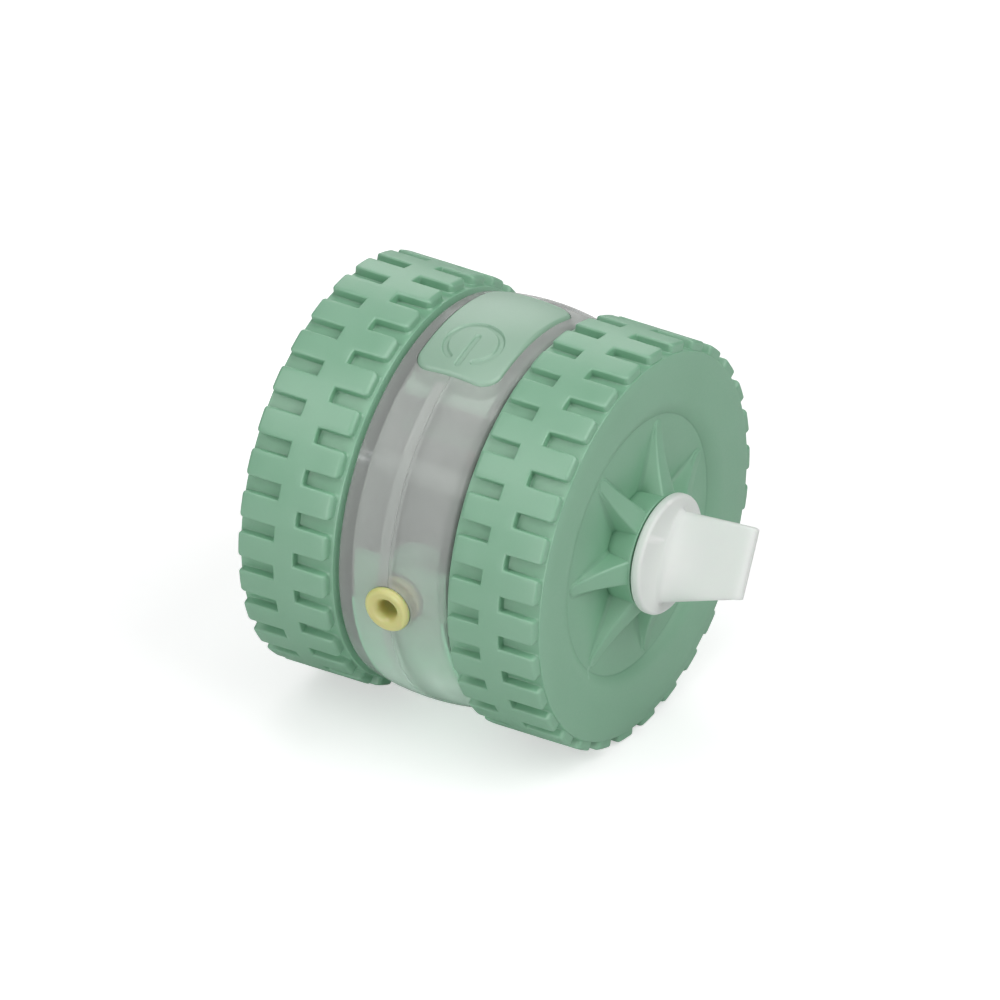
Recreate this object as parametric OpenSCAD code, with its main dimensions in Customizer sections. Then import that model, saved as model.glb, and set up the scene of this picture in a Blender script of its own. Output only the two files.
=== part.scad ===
// Two-wheeled self-rolling pet toy: a smoky barrel drum between two lugged tyres.
// The wheels turn on fixed hollow axles, and a geared motor in the drum drives each one.
// Millimetres, +Z up, +X along the axle towards the pull tab, the front faces -Y.
// The origin is on the floor, under the middle of the drum.

/* [Tyres] */
// Outer diameter of the tyres over the tread
tyre_d = 80; // [77:0.5:96]
// Width of one tyre, from its inner edge to its sidewall
tyre_w = 20.1; // [19:0.1:26]
// Gap between the drum's end wall and a tyre
wheel_gap = 0.6; // [0.4:0.1:2]
// Thickness of the tyre's wall under the tread slots
tread_wall = 3.5; // [2:0.1:5]
// Depth of the tread slots
tread_depth = 1.9; // [1:0.1:2.4]
// Lugs in each of a tyre's two rows
lug_count = 30; // [18:1:40]
// Width of a tread slot round the tyre
slot_w = 3; // [1.5:0.1:4]
// Length of a tread slot along the axle
slot_len = 7.8; // [5:0.1:8.8]
// Radius of the lugs' rounded shoulders
shoulder_r = 0.7; // [0.4:0.1:1.6]
// Width of the ledge between the lugs and the sidewall
ledge_w = 0.3; // [0.3:0.1:1.5]
// Degrees from the top to the first slot of the inner row
tread_turn = 4; // [0:1:11]

/* [Hub face] */
// Diameter of the dish in the hub face
dish_d = 51.2; // [46:0.2:56]
// Width of the rolled lip round the dish
lip_w = 4.2; // [2:0.1:6]
// Depth of the rolled lip
lip_depth = 0.9; // [0.6:0.1:1.8]
// Depth of the dish at the hub
dish_depth = 1.2; // [1:0.1:6.5]
// Thickness of the soft hub face
face_t = 2; // [1.5:0.1:2.5]
// How far the hub stands out past the sidewall
hub_stand = 3.7; // [2:0.1:6]
// Ribs in the dish
rib_count = 7; // [4:1:9]
// Width of a rib at the hub
rib_root_w = 5; // [3:0.1:6]
// Width of a rib at its tip
rib_tip_w = 1.8; // [0.6:0.1:2]
// Degrees from the top to the first rib
rib_turn = 33; // [0:1:51]

/* [Drum] */
// How far the drum's seam lies below the tread
drum_inset = 1; // [0.4:0.1:2]
// How much lower the drum is at its ends than at its seam
drum_bow = 1.6; // [0.8:0.1:2.4]
// Width of the drum
drum_w = 23.8; // [23.4:0.1:30]
// Thickness of the shell at the drum's ends
shell_wall = 1.8; // [1.2:0.1:2.2]
// Thickness of the drum's end walls
end_wall = 2; // [1.6:0.1:2.2]
// Bevel round the drum's ends
edge_bevel = 0.8; // [0.3:0.1:1.2]
// Gap at the seam between the two shell halves
seam_gap = 0.1; // [0.06:0.01:0.4]
// Length of the tongue under the seam
tongue_len = 2.8; // [1.5:0.1:4]
// Thickness of the tongue
tongue_t = 1.6; // [1:0.1:2]
// Width of the keying notch in the tongue, opposite the eyelet
notch_w = 4; // [2:0.1:8]
// Radius of the bosses that take the drum's screws
boss_r = 2.4; // [2.1:0.1:2.6]

/* [Power pad] */
// Width of the pad along the axle
pad_w = 18.4; // [14:0.1:18.8]
// Length of the pad round the drum, seen from above
pad_len = 31.6; // [24:0.2:34]
// Corner radius of the pad
pad_corner = 2.8; // [1:0.1:4]
// How far the pad stands proud of the drum
pad_proud = 0.4; // [0.1:0.1:1]
// Thickness of the pad
pad_t = 3.9; // [3.6:0.1:5]
// Lip that holds the pad under the shell at its two ends
pad_lip = 1.5; // [0.8:0.1:2]
// Gap round the pad
pad_gap = 0.15; // [0.1:0.05:0.4]
// Travel of the pad
pad_travel = 0.6; // [0.3:0.1:0.8]
// Diameter of the power mark
mark_d = 11.4; // [8:0.1:12]
// Line width of the power mark
mark_line = 1.5; // [0.8:0.1:2]
// Depth of the power mark
mark_depth = 0.3; // [0.1:0.1:0.6]
// Degrees from the top to the power mark, towards the front
mark_turn = 11; // [0:1:12]

/* [Eyelet] */
// Outer diameter of the eyelet
eyelet_d = 10; // [8:0.1:12]
// Diameter of its hole
eyelet_bore = 4.5; // [3:0.1:5]
// How far it stands proud of the drum
eyelet_proud = 1.3; // [0.8:0.1:2]
// Degrees from the top to the eyelet, towards the front
eyelet_turn = 95; // [90:1:97]
// Depth of the knot pocket behind it
pocket_depth = 6; // [4:0.1:6.5]

/* [Drive] */
// Tooth size of the gears: pitch diameter over teeth
gear_module = 1; // [0.9:0.05:1.05]
// Teeth in a pinion
pinion_teeth = 12; // [11:1:13]
// Face width of the gears
gear_w = 4; // [3:0.1:5]
// Play between the teeth on the pitch circle
backlash = 0.2; // [0.15:0.01:0.3]
// Wall of the ring gear outside its teeth
ring_wall = 2.85; // [2:0.05:3.4]
// Wall of the wheel core
rim_wall = 2.4; // [1.6:0.1:2.8]
// Degrees from the top to a drive shaft
drive_turn = 125; // [122:1:128]
// Width of a motor
motor_w = 12; // [11:0.1:12.4]
// Height of a motor
motor_h = 10; // [9:0.1:10.4]
// Length of a gearbox
gearbox_len = 9; // [8:0.1:9.4]
// Gap between a motor can and the far end wall
can_gap = 0.9; // [0.3:0.1:3]
// Diameter of an output shaft
shaft_d = 3; // [2.5:0.1:3.4]

/* [Axles] */
// Outer diameter of the fixed axles
axle_d = 16.4; // [16:0.1:17]
// Bore of the axles, which takes the plug
axle_bore = 13.2; // [12.8:0.1:13.6]
// Bore for the leads at an axle's inner end
lead_bore = 9; // [7:0.1:10]
// Wall of the wheel bushes
bush_wall = 1.2; // [0.9:0.1:1.4]
// Wall of the sleeve on the wheel core
sleeve_wall = 1.2; // [1:0.1:1.4]
// Wall of the soft collar round the sleeve
collar_wall = 1.3; // [1:0.1:1.5]
// Thickness of an axle's flange
flange_t = 3; // [2.4:0.1:3.2]
// Running clearance on radius between bush and axle
run_clear = 0.05; // [0.03:0.01:0.1]
// Thickness of the ring that keeps a wheel on
retainer_t = 1; // [0.8:0.1:1.2]

/* [Side plug] */
// Diameter of the plug's flange
plug_d = 23.6; // [22.8:0.1:30]
// Thickness of the flange
plug_t = 1.7; // [1.2:0.1:3]
// Gap between the hub and the flange
plug_gap = 0.65; // [0.3:0.05:1.2]
// Length of the plug's stem inside the axle
stem_len = 6.8; // [5:0.1:7]
// Reach of the pull tab beyond the flange
tab_len = 16.6; // [12:0.2:24]
// Thickness of the tab
tab_t = 4.8; // [3:0.1:6]
// Width of the tab's base above the axle's line
tab_base_up = 8.8; // [6:0.1:9.6]
// Width of the tab's base below the axle's line
tab_base_down = 8.9; // [6:0.1:9.6]
// Width of the tab's end above the axle's line
tab_end_up = 9.3; // [6:0.1:11]
// Width of the tab's end below the axle's line
tab_end_down = 3.7; // [2:0.1:8]
// Degrees that the tab leans back from upright
tab_lean = 26.7; // [-90:0.1:90]

/* [Inside] */
// Thickness of the tub's wall
tub_wall = 1.6; // [1.2:0.1:2]
// Height of the tub's rim over the axle's line
tub_rise = 3.8; // [1:0.1:5]
// Depth of the tub's shoulder below the axle's line
tub_drop = 5.6; // [4:0.1:7]
// Battery length, across the drum's front and back
battery_l = 30; // [24:0.5:31]
// Battery thickness
battery_h = 8; // [5:0.1:8.4]
// Circuit board length
board_l = 36; // [30:0.5:40]
// Circuit board thickness
board_t = 1.2; // [0.8:0.1:1.6]
// Height of the circuit board over the axle's line
board_rise = 22; // [20:0.1:22.4]
// Diameter of the leads
lead_d = 1; // [0.6:0.1:1.2]

/* [Hidden] */
$fn = 96;

// Colours of the materials
tyre_green = [0.58, 0.70, 0.62];
tub_green = [0.66, 0.78, 0.70];
smoke = [0.62, 0.64, 0.62, 0.5];
soft_white = [0.86, 0.87, 0.86];
eyelet_yellow = [0.86, 0.84, 0.58];
white_plastic = [0.88, 0.88, 0.86];
grey_plastic = [0.45, 0.46, 0.47];
steel = [0.72, 0.73, 0.75];
brass = [0.80, 0.66, 0.36];
board_green = [0.10, 0.36, 0.22];
black = [0.10, 0.10, 0.11];
lead_red = [0.70, 0.12, 0.10];

// Clearances between pieces that are fixed to each other, and beside turning faces
fit = 0.05;
side_gap = 0.1;
thrust_gap = 0.5;

// Along the axle, measured from the middle of the drum
axle_z = tyre_d / 2;
drum_half = drum_w / 2;
inner_half = drum_half - end_wall;
tyre_x = drum_half + wheel_gap;
side_x = tyre_x + tyre_w;
hub_x = side_x + hub_stand;
axle_end_x = hub_x - side_gap;
retainer_x = axle_end_x - retainer_t - 1;
sleeve_x0 = drum_half + flange_t + thrust_gap;
sleeve_x1 = retainer_x - side_gap;
gear_x = tyre_x + 0.9;
flange_x = hub_x + plug_gap;
ledge_x = drum_half + flange_t + 3;

// Wheel core, from the tread inwards
tyre_r = tyre_d / 2;
floor_r = tyre_r - tread_depth;
tyre_in_r = floor_r - tread_wall;
rim_out_r = tyre_in_r - fit;
rim_in_r = rim_out_r - rim_wall;
ring_out_r = rim_in_r - fit;

// Gears, with as many teeth in the ring as its wall leaves room for
root_share = 1.25;
ring_teeth = 2 * round((ring_out_r - ring_wall) / gear_module - root_share);
pinion_r = pinion_teeth * gear_module / 2;
ring_r = ring_teeth * gear_module / 2;
drive_r = ring_r - pinion_r;
pinion_tip_r = pinion_r + 0.9 * gear_module;
pinion_root_r = pinion_r - root_share * gear_module;
ring_root_r = ring_r + root_share * gear_module;
ring_tip_r = ring_r - 0.7 * gear_module;
drive_z = drive_r * cos(drive_turn);
drive_y = drive_r * sin(drive_turn);
shaft_r = shaft_d / 2;
shaft_flat = 0.5;
shaft_depth = 2;

// Hub radii, from the axle outwards
axle_r = axle_d / 2;
axle_bore_r = axle_bore / 2;
lead_bore_r = lead_bore / 2;
bush_in_r = axle_r + run_clear;
bush_out_r = bush_in_r + bush_wall;
sleeve_in_r = bush_out_r + fit;
sleeve_out_r = sleeve_in_r + sleeve_wall;
collar_in_r = sleeve_out_r + fit;
collar_out_r = collar_in_r + collar_wall;
axle_flange_r = drive_r - pinion_tip_r - 0.8;
lug_sink = 1;
dish_r = dish_d / 2;
lip_r = dish_r + lip_w;
back_x = side_x - lip_depth - face_t;
back_hub_x = side_x - dish_depth - face_t;

// Drum radii
drum_r = tyre_r - drum_inset;
drum_d = 2 * drum_r;
edge_r = drum_r - drum_bow;
bow_r = (drum_half * drum_half + drum_bow * drum_bow) / (2 * drum_bow);
shell_in_r = edge_r - shell_wall;
tongue_r = shell_in_r + tongue_t;

// Steps along the barrel's bow, with one at each edge of the pad's opening
opening_half = pad_w / 2 + pad_gap;
bow_steps = 6;
half_steps = [
    for (i = [0 : bow_steps]) opening_half * i / bow_steps,
    (opening_half + drum_half) / 2,
    drum_half
];
barrel_steps = [
    for (i = [len(half_steps) - 1 : -1 : 1]) -half_steps[i],
    each half_steps
];

// Screws: shank radius, head radius and head height
shell_screw = [1, 2, 1.2];
motor_screw = [0.8, 1.4, 0.8];
axle_screw = [0.9, 1.7, 1.3];
clamp_screw = [0.8, 1.5, 0.9];
shell_screw_end = 7;
motor_screw_pitch = 9;
axle_screw_count = 3;
axle_screw_r = (axle_r + axle_flange_r) / 2;

// Places inside the drum, as [y, z] from the axle's line
tub_r = shell_in_r - 0.3;
tub_rim_r = tub_r - 1;
tub_in_r = tub_rim_r - tub_wall;
tub_half = inner_half - side_gap;
battery_w = 2 * tub_half - 0.6;
battery_floor = -sqrt(tub_in_r * tub_in_r - battery_l * battery_l / 4) + 0.8;
battery_top = battery_floor + fit + battery_h;
can_len = 2 * inner_half - side_gap - gearbox_len - can_gap;
motor_top = drive_z + motor_h / 2;
motor_floor = drive_z - motor_h / 2 - fit;
saddle_t = 2;
saddle_in = drive_y - motor_w / 2 - fit;
saddle_rib = 4.6;
clamp_z = motor_top + fit;
clamp_t = 1.8;
clamp_half = 5.2;
clamp_screw_len = 5;
clamp_window = 5;
clamp_hole_x = 3.4;
clamp_hole_y = saddle_in - saddle_rib / 2;
boss_up = [24, 18];
boss_low = [battery_l / 2 + boss_r + 1.6, battery_top - boss_r - 0.2];
board_top = board_rise + board_t;
rail_in = inner_half - 1.5;
rail_t = 1.2;
rail_half = 15;
board_half = inner_half - 0.3;

// Power pad and switch
pad_r = drum_r + pad_proud;
pad_in_r = pad_r - pad_t - drum_bow;
pad_lip_r = shell_in_r - 0.1;
mark_y = -drum_r * sin(mark_turn);
mark_r = mark_d / 2;
mark_gap = 36;
stem_r = 2.2;
switch_w = 6.2;
switch_h = 3.4;
led_x = 5.6;
led_r = 1.5;
led_base = 1;
led_dome_r = 1.2;
plunger_r = 1.7;
plunger_top = board_top + switch_h + 2;
plunger_low = board_top + 2;
well_floor = plunger_low - pad_travel - 0.2;
press_gap = 0.1;

// Eyelet, as heights from the axle's line
eyelet_r = eyelet_d / 2;
eyelet_bore_r = eyelet_bore / 2;
neck_wall = 1.15;
seat_depth = 0.8;
neck_r = eyelet_bore_r + neck_wall;
seat_h = drum_r - seat_depth;
eyelet_top = drum_r + eyelet_proud;
inner_lip_w = 1.2;
inner_lip_r = neck_r + inner_lip_w;
inner_lip_h = sqrt(shell_in_r * shell_in_r - inner_lip_r * inner_lip_r) - fit;
inner_lip_t = 1.3;
pocket_r = inner_lip_r + 0.4;
pocket_top = tub_rim_r - 0.9;

// Charging socket: board, shell width and height, length
charge_board_t = 1;
socket_w = 8.94;
socket_h = 3.26;
socket_len = 7.3;
socket_wall = 0.3;

// Involute teeth: the angle an involute has turned at a pressure angle, and a tooth's half angle
pressure = 20;
function involute(angle) = tan(angle) * 180 / PI - angle;
function tooth_half(teeth, r, extra) =
    let (pitch_r = teeth * gear_module / 2, base_r = pitch_r * cos(pressure))
    90 / teeth + extra / pitch_r * 180 / PI + involute(pressure) - involute(acos(min(1, base_r / max(r, base_r))));
function polar(r, angle) = [r * cos(angle), r * sin(angle)];
function gear_outline(teeth, root_r, tip_r, extra, steps) = [
    for (k = [0 : teeth - 1], s = [-steps : steps + 1])
        let (
            up = s <= 0 ? s + steps : steps + 1 - s,
            r = root_r + (tip_r - root_r) * up / steps,
            half = tooth_half(teeth, r, extra)
        )
        polar(r, k * 360 / teeth + (s <= 0 ? -half : half))
];

// Height of the dish's floor at a radius, along the axle
function dish_x(r) = side_x - lip_depth - (dish_depth - lip_depth) * (dish_r - r) / (dish_r - collar_out_r);

// Turns a shape on the Z axis onto the axle, outwards on the right (1) or left (-1)
module on_axle(side) {
    translate([0, 0, axle_z])
        mirror([side < 0 ? 1 : 0, 0, 0])
            rotate([0, 90, 0])
                children();
}

// Moves a shape on the axle to a point of the drum's cross-section
module at_yz(place) {
    translate([-place[1], place[0], 0])
        children();
}

// Moves a shape on the axle to the drive shaft of its side
module at_drive(side) {
    at_yz([side * drive_y, drive_z])
        rotate(drive_angle(side))
            children();
}

function drive_angle(side) = atan2(side * drive_y, -drive_z);

// Extrudes an outline in the drum's cross-section, evenly about the seam
module across_drum(width) {
    translate([0, 0, axle_z])
        rotate([90, 0, 90])
            linear_extrude(width, center = true)
                children();
}

// Puts a shape on the Z axis at an angle round the drum, pointing outwards
module round_drum(turn) {
    translate([0, 0, axle_z])
        rotate([turn, 0, 0])
            children();
}

module rounded_rect(size, r) {
    square([size[0] - 2 * r, size[1]], center = true);
    square([size[0], size[1] - 2 * r], center = true);
    for (sx = [-1, 1], sy = [-1, 1])
        translate([sx * (size[0] / 2 - r), sy * (size[1] / 2 - r)])
            circle(r);
}

module tube(r_in, r_out, low, high) {
    translate([0, 0, low])
        difference() {
            cylinder(h = high - low, r = r_out);
            translate([0, 0, -1])
                cylinder(h = high - low + 2, r = r_in);
        }
}

module disc(r, low, high) {
    translate([0, 0, low])
        cylinder(h = high - low, r = r);
}

// A pan-head screw on the Z axis, its head's top at high and its end at low
module screw(kind, low, high) {
    disc(kind[0], low, high - kind[2] / 2);
    difference() {
        disc(kind[1], high - kind[2], high);
        for (turn = [0, 90])
            rotate(turn)
                translate([0, 0, high])
                    cube([kind[1] * 1.3, kind[1] * 0.3, kind[2] * 0.8], center = true);
    }
}

// A round lead along a route, as one swept tube
module lead(route, up) {
    sides = 8;
    count = len(route);
    rings = [
        for (i = [0 : count - 1])
            let (
                ahead = route[min(i + 1, count - 1)] - route[max(i - 1, 0)],
                along = ahead / norm(ahead),
                over = cross(along, up) / norm(cross(along, up)),
                side = cross(along, over)
            )
            for (k = [0 : sides - 1])
                route[i] + lead_d / 2 * (over * cos(k * 360 / sides) + side * sin(k * 360 / sides))
    ];
    walls = [
        for (i = [0 : count - 2], k = [0 : sides - 1])
            let (a = i * sides + k, b = i * sides + (k + 1) % sides)
            each [[a, a + sides, b], [b, a + sides, b + sides]]
    ];
    first = [for (k = [1 : sides - 2]) [0, k, k + 1]];
    last = [for (k = [1 : sides - 2]) let (n = (count - 1) * sides) [n, n + k + 1, n + k]];
    translate([0, 0, axle_z])
        polyhedron(rings, concat(walls, first, last));
}

// The barrel's outline from the axle's line to a bowed outer radius, over the drum's width
function bow_drop(x) = bow_r - sqrt(bow_r * bow_r - x * x);
module barrel_outline(r) {
    polygon([
        [0, -drum_half],
        for (x = barrel_steps) [r - bow_drop(x), x],
        [0, drum_half]
    ]);
}

module shell_outline() {
    difference() {
        intersection() {
            barrel_outline(drum_r);
            polygon([
                [0, seam_gap / 2],
                [drum_r + 1, seam_gap / 2],
                [drum_r + 1, drum_half - edge_bevel - (drum_r + 1 - edge_r)],
                [edge_r - edge_bevel, drum_half],
                [0, drum_half]
            ]);
        }
        translate([-1, -1])
            square([shell_in_r + 1, inner_half + 1]);
    }
}

// Ledges on the end wall that hold the circuit board's edge
module board_rails() {
    for (low = [board_rise - side_gap - rail_t, board_top + side_gap])
        translate([-low - rail_t, -rail_half, rail_in])
            cube([rail_t, 2 * rail_half, inner_half - rail_in + 1]);
}

// Screw holes and shaft hole in a drum end wall
module end_wall_holes(side) {
    deep = inner_half - 1;
    disc(lead_bore_r, deep, drum_half + 1);
    at_drive(side) {
        disc(shaft_r + 0.6, deep, drum_half + 1);
        for (s = [-1, 1])
            translate([0, s * motor_screw_pitch / 2, 0])
                disc(motor_screw[0] + fit, deep, drum_half + 1);
    }
    for (k = [0 : axle_screw_count - 1])
        rotate(k * 360 / axle_screw_count)
            translate([axle_screw_r, 0, 0])
                disc(axle_screw[0] + fit, deep, drum_half + 1);
}

function boss_places() = [
    for (sy = [-1, 1], place = [boss_up, boss_low])
        [sy * place[0], place[1]]
];

// Openings in both shell halves for the pad and the eyelet
module drum_openings() {
    translate([0, 0, axle_z + drum_r / 2])
        linear_extrude(drum_r)
            rounded_rect([2 * opening_half, pad_len + 2 * pad_gap], pad_corner + pad_gap);
    round_drum(eyelet_turn) {
        disc(neck_r + fit, drum_r / 2, drum_r + 1);
        disc(eyelet_r + fit, seat_h, drum_r + 3);
    }
}

module shell_left() {
    color(smoke)
        difference() {
            on_axle(-1)
                difference() {
                    union() {
                        rotate_extrude()
                            difference() {
                                shell_outline();
                                translate([0, -1])
                                    square([tongue_r + fit, tongue_len + fit + 1]);
                            }
                        board_rails();
                        for (place = boss_places())
                            at_yz(place)
                                disc(boss_r, seam_gap / 2, inner_half + 1);
                    }
                    end_wall_holes(-1);
                    for (place = boss_places())
                        at_yz(place) {
                            disc(shell_screw[0] + fit, -1, drum_half + 1);
                            disc(shell_screw[1] + fit, drum_half - shell_screw[2] - fit, drum_half + 1);
                        }
                }
            drum_openings();
        }
}

// The keying notch across the tongue, opposite the eyelet
module tongue_notch() {
    round_drum(eyelet_turn + 180)
        translate([-tongue_len - 1, -notch_w / 2, shell_in_r - 1])
            cube([tongue_len + 1 + seam_gap / 2, notch_w, tongue_t + 1 + fit]);
}

module shell_right() {
    color(smoke)
        difference() {
            on_axle(1)
                difference() {
                    union() {
                        rotate_extrude() {
                            shell_outline();
                            translate([shell_in_r, -tongue_len])
                                square([tongue_t, tongue_len + 1]);
                        }
                        board_rails();
                        for (place = boss_places())
                            at_yz(place)
                                disc(boss_r, seam_gap / 2, inner_half + 1);
                    }
                    end_wall_holes(1);
                    for (place = boss_places())
                        at_yz(place)
                            disc(shell_screw[0] + fit, -1, shell_screw_end + 0.5);
                }
            drum_openings();
            tongue_notch();
        }
}

module shell_screws() {
    color(steel)
        on_axle(-1)
            for (place = boss_places())
                at_yz(place)
                    screw(shell_screw, -shell_screw_end, drum_half);
}

// A ring of the bowed barrel between two radii, cut to a rounded outline seen from above
module pad_slab(r_in, size, r) {
    intersection() {
        translate([0, 0, axle_z])
            linear_extrude(drum_d)
                rounded_rect(size, r);
        on_axle(1)
            rotate_extrude()
                difference() {
                    children();
                    translate([0, -drum_w])
                        square([r_in, 2 * drum_w]);
                }
    }
}

// The power mark, cut to an even depth below the pad's bowed surface
module power_mark() {
    difference() {
        round_drum(mark_turn)
            linear_extrude(drum_d) {
                difference() {
                    circle(mark_r);
                    circle(mark_r - mark_line);
                    polygon([
                        [0, 0],
                        for (s = [-1, 1]) mark_d * [s * sin(mark_gap), -cos(mark_gap)]
                    ]);
                }
                translate([-mark_line / 2, -mark_r - mark_line / 2])
                    square([mark_line, mark_r]);
            }
        on_axle(1)
            rotate_extrude()
                barrel_outline(pad_r - mark_depth);
    }
}

module power_pad() {
    color(tyre_green)
        difference() {
            union() {
                pad_slab(pad_in_r, [pad_w, pad_len], pad_corner)
                    barrel_outline(pad_r);
                pad_slab(pad_in_r, [pad_w, pad_len + 2 * pad_lip], pad_corner)
                    translate([0, -drum_half])
                        square([pad_lip_r, drum_w]);
                translate([0, mark_y, axle_z])
                    disc(stem_r, plunger_top + press_gap, pad_in_r + 0.5);
            }
            power_mark();
        }
}

module eyelet_outline() {
    lip = (eyelet_top - seat_h - fit) / 2;
    difference() {
        union() {
            translate([0, inner_lip_h - inner_lip_t])
                square([inner_lip_r, inner_lip_t]);
            translate([0, inner_lip_h - 1])
                square([neck_r, seat_h - inner_lip_h + 2]);
            translate([0, seat_h + fit])
                square([eyelet_r - lip, 2 * lip]);
            translate([eyelet_r - lip, seat_h + fit + lip])
                circle(lip);
        }
        translate([-1, 0])
            square([eyelet_bore_r + 1, eyelet_top + 1]);
        polygon([
            [0, seat_h],
            [eyelet_bore_r, seat_h],
            [eyelet_r - lip, eyelet_top],
            [eyelet_r - lip, eyelet_top + 1],
            [0, eyelet_top + 1]
        ]);
    }
}

module rope_eyelet() {
    color(eyelet_yellow)
        round_drum(eyelet_turn)
            rotate_extrude()
                eyelet_outline();
}

// The tub's cross-section: a half-round wall, a flat battery floor and two motor saddles
module tub_outline() {
    difference() {
        union() {
            intersection() {
                circle(tub_r);
                translate([-drum_d, -drum_d])
                    square([2 * drum_d, drum_d - tub_drop]);
            }
            intersection() {
                circle(tub_rim_r);
                translate([-drum_d, -drum_d])
                    square([2 * drum_d, drum_d + tub_rise]);
            }
        }
        intersection() {
            circle(tub_in_r);
            translate([-drum_d, battery_floor])
                square([2 * drum_d, drum_d]);
        }
    }
    difference() {
        for (s = [0, 1])
            mirror([s, 0])
                intersection() {
                    circle(tub_rim_r);
                    translate([saddle_in - saddle_rib, motor_floor - saddle_t]) {
                        square([drum_d, saddle_t]);
                        square([saddle_rib, clamp_z - motor_floor + saddle_t]);
                    }
                }
        translate([-battery_l / 2 - fit, battery_floor])
            square([battery_l + 2 * fit, battery_top - battery_floor + fit]);
    }
}

module inner_tub() {
    color(tub_green)
        difference() {
            union() {
                across_drum(2 * tub_half)
                    tub_outline();
                round_drum(eyelet_turn)
                    disc(pocket_r + tub_wall, pocket_top - pocket_depth - tub_wall, pocket_top);
            }
            round_drum(eyelet_turn)
                disc(pocket_r, pocket_top - pocket_depth, drum_r);
            clamp_holes(fit);
        }
}

// The motor clamp's screw shanks, or their holes with a gap round them
module clamp_holes(gap) {
    for (sx = [-1, 1], sy = [-1, 1])
        translate([sx * clamp_hole_x, sy * clamp_hole_y, axle_z])
            disc(clamp_screw[0] + gap, clamp_z - clamp_screw_len - gap, clamp_z + clamp_t + 1);
}

module motor_clamp() {
    color(grey_plastic)
        translate([0, 0, axle_z])
            difference() {
                translate([0, 0, clamp_z])
                    linear_extrude(clamp_t)
                        difference() {
                            rounded_rect([2 * clamp_half, 2 * (drive_y + motor_w / 2)], 2);
                            rounded_rect([2 * clamp_half - 3, 2 * clamp_window], 2);
                        }
                translate([0, 0, -axle_z])
                    clamp_holes(fit);
            }
}

module clamp_screws() {
    color(steel)
        for (sx = [-1, 1], sy = [-1, 1])
            translate([sx * clamp_hole_x, sy * clamp_hole_y, axle_z])
                screw(clamp_screw, clamp_z - clamp_screw_len, clamp_z + clamp_t + clamp_screw[2]);
}

// A flat-sided motor can behind its gearbox, on the axle of its output shaft
module motor(side) {
    front = inner_half - side_gap - gearbox_len;
    color(steel)
        on_axle(side)
            at_yz([side * drive_y, drive_z])
                translate([0, 0, front - can_len])
                    linear_extrude(can_len)
                        intersection() {
                            circle(motor_w / 2);
                            square([motor_h, motor_w], center = true);
                        }
}

module gearbox(side) {
    front = inner_half - side_gap;
    color(brass)
        on_axle(side)
            difference() {
                at_yz([side * drive_y, drive_z])
                    translate([0, 0, front - gearbox_len])
                        linear_extrude(gearbox_len)
                            rounded_rect([motor_h, motor_w], 0.6);
                at_drive(side) {
                    disc(shaft_r + run_clear, front - shaft_depth - side_gap, front + 1);
                    for (s = [-1, 1])
                        translate([0, s * motor_screw_pitch / 2, 0])
                            disc(motor_screw[0] + fit, front - 4, front + 1);
                }
            }
}

module motor_left() motor(-1);
module motor_right() motor(1);
module gearbox_left() gearbox(-1);
module gearbox_right() gearbox(1);

module motor_screws() {
    color(steel)
        for (side = [-1, 1])
            on_axle(side)
                at_drive(side)
                    for (s = [-1, 1])
                        translate([0, s * motor_screw_pitch / 2, 0])
                            screw(motor_screw, inner_half - 3.5, drum_half + motor_screw[2]);
}

// The shaft's D-shaped section, grown by a gap
module shaft_section(gap) {
    intersection() {
        circle(shaft_r + gap);
        translate([-drum_d, -drum_d])
            square([drum_d + shaft_r - shaft_flat + gap, 2 * drum_d]);
    }
}

module output_shaft(side) {
    color(steel)
        on_axle(side)
            at_drive(side) {
                disc(shaft_r, inner_half - side_gap - shaft_depth, gear_x);
                translate([0, 0, gear_x - 0.5])
                    linear_extrude(gear_w + 1.5)
                        shaft_section(0);
            }
}

module pinion(side) {
    color(white_plastic)
        on_axle(side)
            at_drive(side)
                translate([0, 0, gear_x])
                    linear_extrude(gear_w)
                        difference() {
                            polygon(gear_outline(pinion_teeth, pinion_root_r, pinion_tip_r, -backlash / 4, 5));
                            shaft_section(0.02);
                        }
}

module ring_gear(side) {
    color(white_plastic)
        on_axle(side)
            rotate(drive_angle(side))
                translate([0, 0, gear_x])
                    linear_extrude(gear_w)
                        difference() {
                            circle(ring_out_r);
                            polygon(gear_outline(ring_teeth, ring_tip_r, ring_root_r, backlash / 4, 3));
                        }
}

module output_shaft_left() output_shaft(-1);
module output_shaft_right() output_shaft(1);
module pinion_left() pinion(-1);
module pinion_right() pinion(1);
module ring_gear_left() ring_gear(-1);
module ring_gear_right() ring_gear(1);

module battery() {
    color(black)
        across_drum(battery_w)
            translate([0, battery_floor + fit + battery_h / 2])
                rounded_rect([battery_l, battery_h], 1);
}

module circuit_board() {
    color(board_green)
        translate([0, 0, axle_z + board_rise])
            linear_extrude(board_t)
                rounded_rect([2 * board_half, board_l], 1);
}

// Parts on the board, as [x, y, width, length, height]
chips = [[0, 7, 5, 5, 0.9], [-5.6, 0, 2.4, 3.4, 1.3], [5.6, 0, 2.4, 3.4, 1.3], [0, 13.4, 7, 3.4, 2.2]];

module board_chips() {
    color(black)
        for (c = chips)
            translate([c[0], c[1], axle_z + board_top])
                linear_extrude(c[4])
                    rounded_rect([c[2], c[3]], 0.3);
}

module status_leds() {
    color(white_plastic)
        for (s = [-1, 1])
            translate([s * led_x, mark_y, axle_z + board_top]) {
                cylinder(h = led_base, r = led_r);
                translate([0, 0, led_base])
                    intersection() {
                        sphere(led_dome_r);
                        translate([-led_r, -led_r, -led_base / 2])
                            cube(2 * led_r);
                    }
            }
}

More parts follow.
